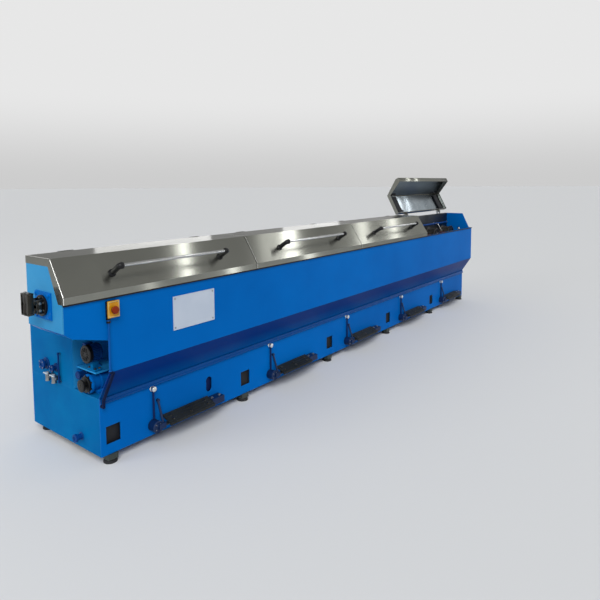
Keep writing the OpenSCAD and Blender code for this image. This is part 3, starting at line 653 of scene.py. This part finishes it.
def makeSign(values):
    # A raised border round the bare plate, with a screw in each corner
    shape = bmesh.new()
    (left, low), (right, high) = values["low"], values["high"]
    face, border, proud = values["face"], values["border"], values["proud"]
    for x0, z0, x1, z1 in ((left, low, right, low + border), (left, high - border, right, high),
                           (left, low + border, left + border, high - border),
                           (right - border, low + border, right, high - border)):
        addBlock(shape, (x0, face - proud, z0), (x1, face + 0.6, z1), 0.5)
    for x in (left + values["screwIn"], right - values["screwIn"]):
        for z in (low + values["screwIn"], high - values["screwIn"]):
            addScrew(shape, (x, face, z), forward, 5, 2.4, finish=1)
    makePiece("signBorder", shape, ["signFace", "plainSteel"], "machine")


makeSign(sign)

print("capstans and die holders")
capstan = {"count": 12, "back": 215, "height": 860, "steps": 56,
           "profile": [(-0.5, 0), (-0.5, 50), (7, 50), (9, 42), (29, 40), (30, 100), (32, 105), (39, 105),
                       (42, 102), (43, 94), (46, 91.5), (62, 91.5), (63, 90), (79, 90), (80, 88.5), (96, 88.5),
                       (97, 87), (113, 87), (114, 85.5), (128, 86), (130, 92), (132, 98), (134, 99), (140, 99),
                       (142, 97), (142, 70), (139, 66), (139, 44), (143, 42), (156, 40), (158, 38), (158, 0)],
           "faceAt": 139, "boltRing": 55, "bolts": 6, "nutAt": 157.5}
dieHolder = {"front": 65, "back": 145, "top": 895, "railRadius": 11, "rail": (196, 992), "railEnds": (60, 5084),
             "wall": 215.5}


def makeCapstans(values):
    # Stepped drums, each one's bolts turned a little on from the last one's
    shape = bmesh.new()
    pitch = mainLength / values["count"]
    back, height = values["back"], values["height"]
    for index in range(values["count"]):
        x = (index + 0.5) * pitch
        addTurned(shape, values["profile"], (x, back, height), forward, steps=values["steps"])
        for across, rise in ringOf(values["bolts"], values["boltRing"], 0.3 * index):
            addBolt(shape, (x + across, back - values["faceAt"], height + rise), forward, 12, 5, washer=False, finish=1)
        addBolt(shape, (x, back - values["nutAt"], height), forward, 26, 2.5, washer=False, finish=1)
    makePiece("capstanSet", shape, ["wornSteel", "plainSteel"], "machine", ["capstans"])


def makeDieFittings(values, count):
    # A clamp screw with a wing nut on each holder, and a coolant rail with a nozzle over each die
    shape = bmesh.new()
    y, z = values["rail"]
    start, end = values["railEnds"]
    addTube(shape, [(start, y, z), (end, y, z)], values["railRadius"], sides=20)
    for x in (start, end):
        addRod(shape, (x - 7, y, z), (x + 7, y, z), values["railRadius"] + 4, sides=6, edge=1, finish=1)
    front, top, wall = values["front"], values["top"], values["wall"]
    middle = (front + values["back"]) / 2
    for index in range(1, count):
        x = index * mainLength / count
        addRod(shape, (x, middle, top - 1), (x, middle, top + 26), 6, sides=16, edge=0.6, finish=1)
        addBlock(shape, (x - 22, middle - 3, top + 12), (x + 22, middle + 3, top + 20), 2, finish=1)
        addBlock(shape, (x - 24, front - 3, top - 40), (x + 24, front + 0.5, top - 12), 1.5, finish=1)
        addBlock(shape, (x - 14, front - 7, top - 32), (x + 14, front - 2, top - 20), 1.5, finish=1)
        nozzle = bentPath([(x, y, z), (x, y - 40, z), (x, middle + 14, z - 62)], 16)
        addTube(shape, nozzle, [5] * (len(nozzle) - 1) + [3.4], sides=12, finish=1)
        addRod(shape, (x - 9, y + 12, z - 5), (x - 9, wall, z - 5), 4, sides=12, edge=0.5, finish=1)
        addBlock(shape, (x - 16, wall - 6.5, z - 18), (x + 16, wall, z + 14), 1.5, finish=1)
    makePiece("coolantRail", shape, ["navyPaint", "plainSteel"], "machine")


makeCapstans(capstan)
makeDieFittings(dieHolder, capstan["count"])

print("foot bars and their switches")
footBar = {"start": 380, "length": 362, "ends": (12, 14), "back": (-16, 154), "front": (-92, 122), "ribs": 4,
           "ribIn": 12, "boltIn": 34, "lip": 12, "axisHeight": 110, "hubX": 331, "hubRadius": 34, "hubFace": -50,
           "gland": 326, "blocks": (763, 827)}


def makeFootTread(number, values):
    # Ribs along the tread, two rows of bolts and a round lip under its front edge
    shape = bmesh.new()
    barStart = (number - 1) * bayPitch + values["start"]
    x0, x1 = barStart + values["ends"][0], barStart + values["length"] - values["ends"][1]
    back, front = Vector((0, *values["back"])), Vector((0, *values["front"]))
    width = (front - back).length
    down = (front - back).normalized()
    lift = Vector((0, -down.z, down.y))
    lift = lift if lift.z > 0 else -lift
    lie = Matrix((alongX, down, lift)).transposed().to_4x4()
    for rib in range(values["ribs"]):
        place = back + down * (values["ribIn"] + rib * (width - 2 * values["ribIn"]) / (values["ribs"] - 1))
        addBlock(shape, (0, -2.5, -0.5), (x1 - x0, 2.5, 1.8), 0.8, turn=Matrix.Translation(place + alongX * x0) @ lie)
    for x in (x0 + values["boltIn"], (x0 + x1) / 2, x1 - values["boltIn"]):
        for share in (0.3, 0.68):
            addBolt(shape, back + (front - back) * share + alongX * x, lift, 12, 5, finish=1)
    edge = front - upward * values["lip"]
    addTube(shape, [edge + alongX * (x0 - 3), edge + alongX * (x1 + 3)], 3.4, sides=12)
    makePiece(f"footTread{number}", shape, ["blackSteel", "agedSteel"], f"pedal_{number}")


def makeSwitchCovers(values):
    # A lid with a rim and screws on each round switch box, a lock nut on each gland and bolts on the bearing block
    shape = bmesh.new()
    radius, y, z = values["hubRadius"], values["hubFace"], values["axisHeight"]
    for bay in range(bays):
        x = bay * bayPitch + values["hubX"]
        addTurned(shape, [(-0.5, 0), (-0.5, radius + 1), (3, radius + 1), (4.5, radius - 1), (4.5, radius - 5),
                          (3, radius - 7), (3, 14), (5.5, 12), (5.5, 0)], (x, y, z), forward, steps=36)
        addTurned(shape, [(4.2, radius - 4.4), (5.2, radius - 3.4), (5.2, radius - 1.6), (4.2, radius - 0.6)],
                  (x, y, z), forward, steps=36, closed=True)
        for across, rise in ringOf(4, 21, math.pi / 4):
            addScrew(shape, (x + across, y - 3, z + rise), forward, 3.4, 2, finish=1)
        # The gland's nut and lock nut take the near-white steel as a painted highlight
        gland = (x, 0, values["gland"])
        addTurned(shape, [(0, 0), (0, 17), (1, 18), (5, 18), (6, 16.5), (6, 0)], gland, forward, steps=6, finish=2)
        addTurned(shape, [(20, 0), (20, 14.5), (21, 15), (26, 15), (28, 12.5), (29, 7), (29, 0)], gland, forward,
                  steps=28, finish=2)
        for across in values["blocks"]:
            addBolt(shape, (bay * bayPitch + across, -31, z + 26), upward, 14, 7, finish=1)
    makePiece("switchCovers", shape, ["hubPaint", "plainSteel", "highlightSteel"], "machine")


for barNumber in range(1, bays + 1):
    makeFootTread(barNumber, footBar)
makeSwitchCovers(footBar)

print("pump bay")
pumpBay = {"motor": (-10, 105, 595), "motorRadius": 50, "fins": 30, "finDepth": 5, "slots": 10, "shelf": (20, 495),
           "pump": (0, 112, 428), "pumpRadius": 52, "pumpLength": 190, "discs": ((-40, 11, 34), (-14, 12, 44)),
           "port": (204, 456), "floor": 370, "wall": 250}


def makeMotor(values):
    # A fan cowl, a finned body, an end bell, a terminal box and a foot on the bay's shelf
    shape = bmesh.new()
    x, y, z = place = values["motor"]
    radius, depth = values["motorRadius"], values["finDepth"]
    core = radius - 2 - depth
    before = set(shape.faces)
    addRod(shape, (x + 18, y, z), (x + 74, y, z), core, sides=values["fins"] * 2, edge=0)
    sides = [face for face in shape.faces if face not in before and abs(face.normal.x) < 0.5]
    sides.sort(key=lambda face: math.atan2(face.calc_center_median().z - z, face.calc_center_median().y - y))
    for ridge in bmesh.ops.extrude_discrete_faces(shape, faces=sides[::2])["faces"]:
        outward = ridge.calc_center_median() - Vector((ridge.calc_center_median().x, y, z))
        bmesh.ops.translate(shape, verts=ridge.verts, vec=outward.normalized() * depth)
    addTurned(shape, [(0, 0), (0, 14), (2.5, 16), (2.5, 34), (0, 36), (0, radius - 6), (1, radius - 2), (4, radius),
                      (20, radius), (21, radius - 1), (21, radius - 4), (18, radius - 5), (18, 0)],
              place, alongX, steps=48, finish=1)
    for slot in range(values["slots"]):
        turn = Matrix.Translation(place) @ Matrix.Rotation(2 * math.pi * slot / values["slots"], 4, "X")
        addBlock(shape, (-0.2, 15, -2), (3, 35, 2), 0.6, finish=1, turn=turn)
    addTurned(shape, [(66, 0), (66, radius - 3), (70, radius - 2), (78, radius - 4), (84, 24), (84, 0)],
              place, alongX, steps=40)
    left, top = values["shelf"]
    # The shelf and foot take the darker end paint rather than the bay's lightened paint, as painted shade on their lit
    # tops
    addBlock(shape, (left, y - 35, top), (x + 74, y + 35, top + 14), 2, finish=3)
    addBlock(shape, (left + 4, y - 12, top + 12), (x + 70, y + 12, z - core + 3), 1.5, finish=3)
    addBlock(shape, (x + 24, y + 36, z + 8), (x + 70, y + 66, z + 46), 3)
    for along in (left + 9, x + 64):
        for across in (-28, 28):
            addBolt(shape, (along, y + across, top + 14), upward, 10, 5, finish=2)
    cable = [(x + 48, y + 60, z + 20), (x + 48, y + 90, z + 20), (x + 48, y + 100, z - 70)]
    addTube(shape, bentPath(cable, 26), 6, sides=14, finish=1)
    makePiece("pumpMotor", shape, ["navyPaint", "blackPlastic", "agedSteel", "endPaint"], "machine",
              ["pump_motor"])


def makePump(values):
    # A banded body with two discs on its shaft, a port beside it and a pipe to the rear wall
    shape = bmesh.new()
    x, y, z = values["pump"]
    radius, length = values["pumpRadius"], values["pumpLength"]
    addTurned(shape, [(0, 0), (0, radius - 8), (2, radius - 1), (4, radius), (13, radius), (15, radius - 2),
                      (16, radius - 9), (60, radius - 9), (62, radius - 4), (72, radius - 4), (74, radius - 9),
                      (150, radius - 9), (152, radius), (length - 4, radius), (length, radius - 5), (length, 0)],
              (x, y, z), alongX, steps=48)
    addRod(shape, (x - 40, y, z), (x + 2, y, z), 14, sides=28, edge=1, finish=2)
    for start, thick, disc in values["discs"]:
        addTurned(shape, [(0, 12), (0, disc - 5), (1, disc - 1), (2, disc), (thick * 0.3, disc),
                          (thick * 0.42, disc - 4), (thick * 0.58, disc - 4), (thick * 0.7, disc),
                          (thick - 1, disc), (thick, disc - 1), (thick, 12)],
                  (start, y, z), alongX, steps=44, finish=1, closed=True)
    for across, rise in ringOf(8, radius - 5, math.pi / 8):
        addBolt(shape, (x, y + across, z + rise), -alongX, 8, 4, washer=False, finish=2)
    addBlock(shape, (x + 40, y - 40, values["floor"]), (x + length - 40, y + 40, z - radius + 14), 2)
    portY, portZ = values["port"]
    addTurned(shape, [(-4, 0), (-4, 20), (-2, 22), (6, 22), (8, 18), (40, 18), (42, 22), (68, 22), (68, 0)],
              (x, portY, portZ), alongX, steps=32, finish=3)
    addBlock(shape, (x + 20, portY, portZ - 16), (x + 60, values["wall"], portZ + 16), 2)
    pipeX, pipeZ, rear = x + 104, z + 66, values["wall"] - 1
    pipe = [(pipeX, y + 20, z + 30), (pipeX, y + 30, z + 62), (pipeX, rear - 49, pipeZ), (pipeX, rear, pipeZ)]
    addTube(shape, bentPath(pipe, 16), 11, sides=16)
    makePiece("coolantPump", shape, ["bluePaint", "blackPlastic", "agedSteel", "navyPaint"], "machine",
              ["pump_body"])


makeMotor(pumpBay)
makePump(pumpBay)

print("pipes and valves on the inlet end")
pipeWork = {"ends": ((545, 456, 30, 16), (432, 454, 21, 12)), "gauge": (388, 374, 538), "drain": (190, 116),
            "valves": (408, 478), "valveHeight": 400}


def makePipes(values):
    # Two flanged pipe ends, a sight gauge between its fittings and the drain stub
    shape = bmesh.new()
    for y, z, flange, pipe in values["ends"]:
        addTurned(shape, [(0, 0), (0, flange + 4), (6, flange + 4), (8, flange + 2), (8, pipe + 2), (10, pipe),
                          (22, pipe), (22, flange - 1), (23, flange), (33, flange), (34, flange - 1), (34, pipe + 1),
                          (35, pipe), (36, pipe - 1), (36, pipe - 4), (28, pipe - 5), (28, 0)],
                  (0, y, z), -alongX, steps=40)
        for across, rise in ringOf(4, (flange + pipe) / 2 + 1, math.pi / 4):
            addBolt(shape, (-34, y + across, z + rise), -alongX, flange * 0.26, 2, washer=False, finish=1)
    y, low, high = values["gauge"]
    addRod(shape, (-12, y, low + 12), (-12, y, high), 4.6, sides=20, edge=0)
    for z in (low, high):
        addTurned(shape, [(0, 0), (0, 5.5), (1, 6.4), (11, 6.4), (12, 5.5), (12, 0)], (-12, y, z), upward, steps=20)
        addRod(shape, (0.5, y, z + 6), (-14, y, z + 6), 5.4, sides=6, edge=0.6, finish=1)
    y, z = values["drain"]
    addTurned(shape, [(0, 0), (0, 24), (3, 24), (4, 17), (30, 17), (30, 22), (32, 24), (42, 24), (44, 22), (44, 12),
                      (38, 10), (38, 0)], (0, y, z), -alongX, steps=8)
    makePiece("pipeEnds", shape, ["navyPaint", "plainSteel"], "machine",
              ["coolant_pipes", "drain_pipe"])


def makeValves(values):
    # Two ball valves with a pale lever each
    shape = bmesh.new()
    z = values["valveHeight"]
    for y in values["valves"]:
        addRod(shape, (0.5, y, z), (-12, y, z), 15, sides=6, edge=1)
        addTurned(shape, [(-8, 0), (-8, 11), (-2, 11), (6, 14), (14, 15.5), (22, 14), (28, 11), (30, 9), (30, 0)],
                  (-8, y, z), -alongX, steps=28)
        addTurned(shape, [(0, 0), (0, 11), (6, 15), (12, 15), (16, 13), (40, 13), (44, 15), (46, 15), (46, 8),
                          (42, 7), (42, 0)], (-30, y, z + 22), -upward, steps=28)
        addTurned(shape, [(0, 0), (0, 7), (14, 7), (16, 5), (22, 5), (22, 0)], (-30, y, z + 6), upward, steps=20)
        addBlock(shape, (-52, y - 30, z + 21), (-44, y + 14, z + 28), 2.5, finish=1)
        addBlock(shape, (-46, y - 6, z + 21), (-26, y + 6, z + 27), 2, finish=1)
        addBolt(shape, (-30, y, z + 27), upward, 9, 2, washer=False)
    makePiece("ballValves", shape, ["plainSteel", "paleLever"], "machine", ["coolant_valves"])


makePipes(pipeWork)
makeValves(pipeWork)

print("inlet guide")
inletGuide = {"wire": (56, 914), "disc": (-260, 12, 52, 16), "outlet": (5150, 29.9, 52, 12), "boltRing": 38,
              "padFace": -248, "padBolts": (62, 54), "reach": -336, "plate": 76, "thick": 6, "low": -28, "high": 66,
              "gap": 56, "roller": 14}


def makeWireFlanges(values):
    # The ring at each end of the wire's way, the inlet one with bolts and the outlet one with plugged holes
    shape = bmesh.new()
    y, z = values["wire"]
    for start, thick, radius, bore in (values["disc"], values["outlet"]):
        addTurned(shape, [(0, bore + 2), (0, radius - 2), (1.5, radius), (thick - 1.5, radius), (thick, radius - 1.5),
                          (thick, bore + 2), (thick - 2, bore), (2, bore)],
                  (start, y, z), alongX, steps=56, closed=True)
    face, end = values["disc"][0] + 0.4, values["outlet"][0] + values["outlet"][1]
    for across, rise in ringOf(6, values["boltRing"], math.pi / 6):
        addBolt(shape, (face, y + across, z + rise), -alongX, 9, 5, washer=False, finish=1)
        addTurned(shape, [(-0.5, 0), (-0.5, 5.4), (-0.1, 5.4), (-0.1, 0)], (end, y + across, z + rise), alongX,
                  steps=12, finish=1)
    makePiece("wireRings", shape, ["blackPlastic", "plainSteel"], "machine", ["wire_flanges"])
    shape = bmesh.new()
    across, height = values["padBolts"]
    for side in (-1, 1):
        for level in (-1, 1):
            addBolt(shape, (values["padFace"], y + side * across, z + level * height), -alongX, 13, 7)
    makePiece("padBolts", shape, ["bluePaint"], "machine")


def makeRollerGuide(values):
    # Two side plates, waisted between their corners, carry four rollers with bearing caps and nuts
    shape = bmesh.new()
    y, z = values["wire"]
    x0, x1 = values["reach"], values["reach"] + values["plate"]
    low, high, half = z + values["low"], z + values["high"], values["gap"] / 2
    thick, roller = values["thick"], values["roller"]
    for side in (-1, 1):
        inner = y + side * half
        outer = inner + side * thick
        front, back = min(inner, outer), max(inner, outer)
        for left, bottom, right, top in ((x0, low, x0 + 30, high), (x1 - 34, z - 34, x1, z + 36),
                                         (x0 + 26, low, x1 - 30, low + 16), (x0 + 26, high - 52, x1 - 30, high - 34)):
            addBlock(shape, (left, front, bottom), (right, back, top), 1.5)
        for level in (-1, 1):
            axle = (x1 - roller - 4, outer, z + level * (roller + 3))
            addTurned(shape, [(-0.5, 0), (-0.5, 6.5), (3, 6.5), (4.5, 5.5), (4.5, 3), (7, 2.6), (7, 0)],
                      axle, forward * -side, steps=24, finish=1)
    for level in (-1, 1):
        axle = (x1 - roller - 4, y - half, z + level * (roller + 3))
        addTurned(shape, [(0, 0), (0, roller - 1), (1, roller), (18, roller - 1), (28, roller - 3.5), (38, roller - 1),
                          (55, roller), (56, roller - 1), (56, 0)], axle, backward, steps=32, finish=2)
    for side in (-1, 1):
        across = y + side * (roller + 1)
        addTurned(shape, [(0, 0), (0, roller - 3), (1, roller - 2), (34, roller - 2.5), (47, roller - 5),
                          (60, roller - 2.5), (93, roller - 2), (94, roller - 3), (94, 0)],
                  (x0 + roller, across, low), upward, steps=28, finish=2)
        for cap, towards in ((low - thick, -upward), (high + thick, upward)):
            addTurned(shape, [(-0.5, 0), (-0.5, 9), (2.5, 9), (4, 7.5), (4, 3.5), (6, 3), (6, 0)],
                      (x0 + roller, across, cap), towards, steps=20, finish=1)
    for cap in (low - thick, high):
        addBlock(shape, (x0, y - half - 6, cap), (x0 + 32, y + half + 6, cap + thick), 1.5)
    makePiece("rollerGuide", shape, ["agedSteel", "plainSteel", "wornSteel"], "machine", ["inlet_rollers"])


makeWireFlanges(inletGuide)
makeRollerGuide(inletGuide)

print("lid linings and hinges")
lidLining = {"front": -122, "rear": 229, "kink": -7, "low": 933, "lip": 35, "top": 1145, "sheet": 3, "gap": 6,
             "turnedIn": -76, "hem": 3.2, "hemShare": 0.55, "hinges": (220, 1127.5), "armWidth": 100, "armIn": 62}


def makeLidLining(number, values):
    # A lid's linings, a rubber seal behind the lip, a black stay near each end and a rolled hem on its left edge
    shape = bmesh.new()
    inner, low, top = values["sheet"], values["low"], values["top"]
    front, rear, kink = values["front"], values["rear"], values["kink"]
    lidLeft = lidStart + (number - 1) * lidPitch
    x0 = lidLeft + (0 if number == 1 else values["gap"] / 2) + inner
    x1 = lidLeft + lidPitch - (0 if number == lidCount else values["gap"] / 2) - inner
    corner = Vector((0, kink + 1.6, top - inner))
    lip = Vector((0, front + inner, low + values["lip"] - 1.6))
    down = (lip - corner).normalized()
    inward = Vector((0, -down.z, down.y))
    inward = inward if inward.z < 0 else -inward
    slant = Matrix.Translation(corner) @ Matrix((alongX, down, inward)).transposed().to_4x4()
    face, back, ceiling = front + inner, rear - inner, top - inner
    addBlock(shape, (x0 - 0.3, face - 0.3, low + 0.2), (x1 + 0.3, values["turnedIn"], low + 2.8), 0.6)
    addBlock(shape, (x0 + 44, face - 0.3, low + 14), (x1 - 44, face + 9, low + 26), 2.5, finish=1)
    addBlock(shape, (x0 + 4, back - 9, top - 30), (x1 - 4, back + 0.3, top - 18), 2.5, finish=1)
    addBlock(shape, (x0 + 4, 6, -0.3), (x1 - 4, (lip - corner).length - 6, 1.6), 0.4, finish=3, turn=slant)
    addBlock(shape, (x0 + 4, kink + 12, ceiling - 1.6), (x1 - 4, back - 10, ceiling + 0.3), 0.4, finish=4)
    # The hem takes the near-white steel as a painted highlight
    radius = values["hem"] * (1 if number == 1 else values["hemShare"])
    hem = Vector((x0 - inner + radius + 0.4, radius * 0.65, -radius * 0.55))
    run = [(0, rear - 3, top), (0, kink, top), (0, front, low + values["lip"]), (0, front, low + 3)]
    addTube(shape, [hem + point for point in bentPath(run, 5, 4)], radius, sides=10, finish=5)
    for end, side in ((x0, 1), (x1, -1)):
        near = end + side * values["armIn"]
        left, right = sorted((near, near + side * values["armWidth"]))
        addBlock(shape, (left, kink + 24, ceiling - 11), (right, rear - 24, ceiling - 1), 1.5, finish=1)
        addBlock(shape, (left, 10, 1), (right, 30, 9), 1.5, finish=1, turn=slant)
        footRight = right + (24 if side > 0 else 0)
        addBlock(shape, (left, rear - 46, ceiling - 14), (footRight, rear - 24, ceiling - 6), 1.5, finish=1)
    for hinge in values["hinges"]:
        for bolt in (-18, 18):
            addBolt(shape, (lidLeft + hinge + bolt, rear - 18, ceiling), -upward, 9, 5, finish=2)
    makePiece(f"lidLining{number}", shape,
              ["brushedSteel", "blackRubber", "plainSteel", "linerSteel", "innerSteel", "highlightSteel"],
              f"cover_{number}", (), lidTurn(number))


def makeHingeBolts(values):
    # A cap on each end of a hinge's knuckles and a pad under them
    shape = bmesh.new()
    for lid in range(lidCount):
        for hinge in values["hinges"]:
            x = lidStart + lid * lidPitch + hinge
            for side in (-1, 1):
                addTurned(shape, [(-0.5, 0), (-0.5, 9), (3, 9), (4.5, 7), (4.5, 0)],
                          hingeLine + alongX * (x + side * 42), alongX * side, steps=20)
                addBlock(shape, (x + side * 36 - 9, 232, 1106.4), (x + side * 36 + 9, 250, 1112), 1.2)
    makePiece("hingeCaps", shape, ["plainSteel"], "machine")


for lidNumber in range(1, lidCount + 1):
    makeLidLining(lidNumber, lidLining)
makeHingeBolts(lidLining)

print("feet, seams and rear panels")
levelFeet = {"first": 65, "last": 5090, "rows": (20, 680), "pad": 38}
rearCover = {"low": (0, 250, 370), "high": (5150, 730, 1010), "panels": 5, "margin": 46, "edge": 0.8, "groove": 5,
             "depth": 3, "rise": 2.4, "screwIn": 74}


def makeFeet(values):
    # A rubber pad and a nut under each foot
    shape = bmesh.new()
    pad = values["pad"]
    for index in range(bays + 1):
        x = values["last"] if index == bays else values["first"] + index * bayPitch
        for y in values["rows"]:
            addTurned(shape, [(0, 0), (0, pad - 1), (1, pad), (9, pad), (12, pad - 2), (15, pad - 4), (16, pad - 9),
                              (18, 24), (20, 22), (20, 0)], (x, y, 0), upward, steps=36)
            addRod(shape, (x, y, 19.5), (x, y, 27), 34, sides=8, edge=1, finish=1)
    makePiece("footPads", shape, ["blackRubber", "shadedGreenSteel"], "machine", ["foot_pads"])


def makeRearHousing(values):
    # The gear housing with sunk panels in its rear and top, and screws in each panel's corners
    shape = bmesh.new()
    low, high = Vector(values["low"]), Vector(values["high"])
    addBlock(shape, low, high, 0)
    pitch = (high.x - low.x) / values["panels"]
    for cut in range(1, values["panels"]):
        bmesh.ops.bisect_plane(shape, geom=shape.verts[:] + shape.edges[:] + shape.faces[:],
                               plane_co=(low.x + cut * pitch, 0, 0), plane_no=(1, 0, 0))
    panels = [face for face in shape.faces if face.normal.y > 0.9 or face.normal.z > 0.9]
    for inwards, sink in ((values["margin"], 0), (values["edge"], -values["depth"]), (values["groove"], 0),
                          (values["edge"], values["rise"])):
        bmesh.ops.inset_individual(shape, faces=panels, thickness=inwards, depth=sink)
    # The end face takes the end plate's paint; the front face, seen inside the pump bay, takes the lightened bay paint
    # as painted light
    for face in shape.faces:
        face.material_index = 2 if face.normal.x < -0.9 else 3 if face.normal.y < -0.9 else 0
    screwIn = values["screwIn"]
    for panel in range(values["panels"]):
        left, right = low.x + panel * pitch + screwIn, low.x + (panel + 1) * pitch - screwIn
        for x in (left, (left + right) / 2, right):
            for z in (low.z + screwIn, high.z - screwIn):
                addScrew(shape, (x, high.y - values["depth"], z), backward, 6, 2.6, finish=1)
            for y in (low.y + screwIn, high.y - screwIn):
                addScrew(shape, (x, y, high.z - values["depth"]), upward, 6, 2.6, finish=1)
    makePiece("rearHousing", shape, ["bluePaint", "plainSteel", "endPaint", "litBayPaint"], "machine",
              ["gear_housing"])


frontShadeStrips = {"lipShadowStrip": (-118.5, -109.6, 924, 932.4), "start": -236, "back": (16, 18), "hole": (26, 126, 100, 214),
             "slot": (770, 192, 25, 48), "slotMargin": 12}


def makeFrontShadeStrips(values):
    # A black strip under the lids' lip as a painted shadow of the lip, and a dark plate behind each hand hole and slot
    # as painted shade in the recess
    shape = bmesh.new()
    front, rear, low, high = values["lipShadowStrip"]
    addBlock(shape, (values["start"], front, low), (mainLength - 4, rear, high), 1.5)
    near, far = values["back"]
    x, z, radius, length = values["slot"]
    reach = radius + values["slotMargin"]
    holeLeft, holeRight, holeLow, holeHigh = values["hole"]
    for bay in range(bays):
        left = bay * bayPitch
        addBlock(shape, (left + holeLeft, near, holeLow), (left + holeRight, far, holeHigh), 0.6)
        addBlock(shape, (left + x - reach, near, z - reach), (left + x + reach, far, z + length + reach), 0.6, finish=1)
    makePiece("frontShadeStrips", shape, ["blackRubber", "navyCable"], "machine")


makeFeet(levelFeet)
makeRearHousing(rearCover)
makeFrontShadeStrips(frontShadeStrips)
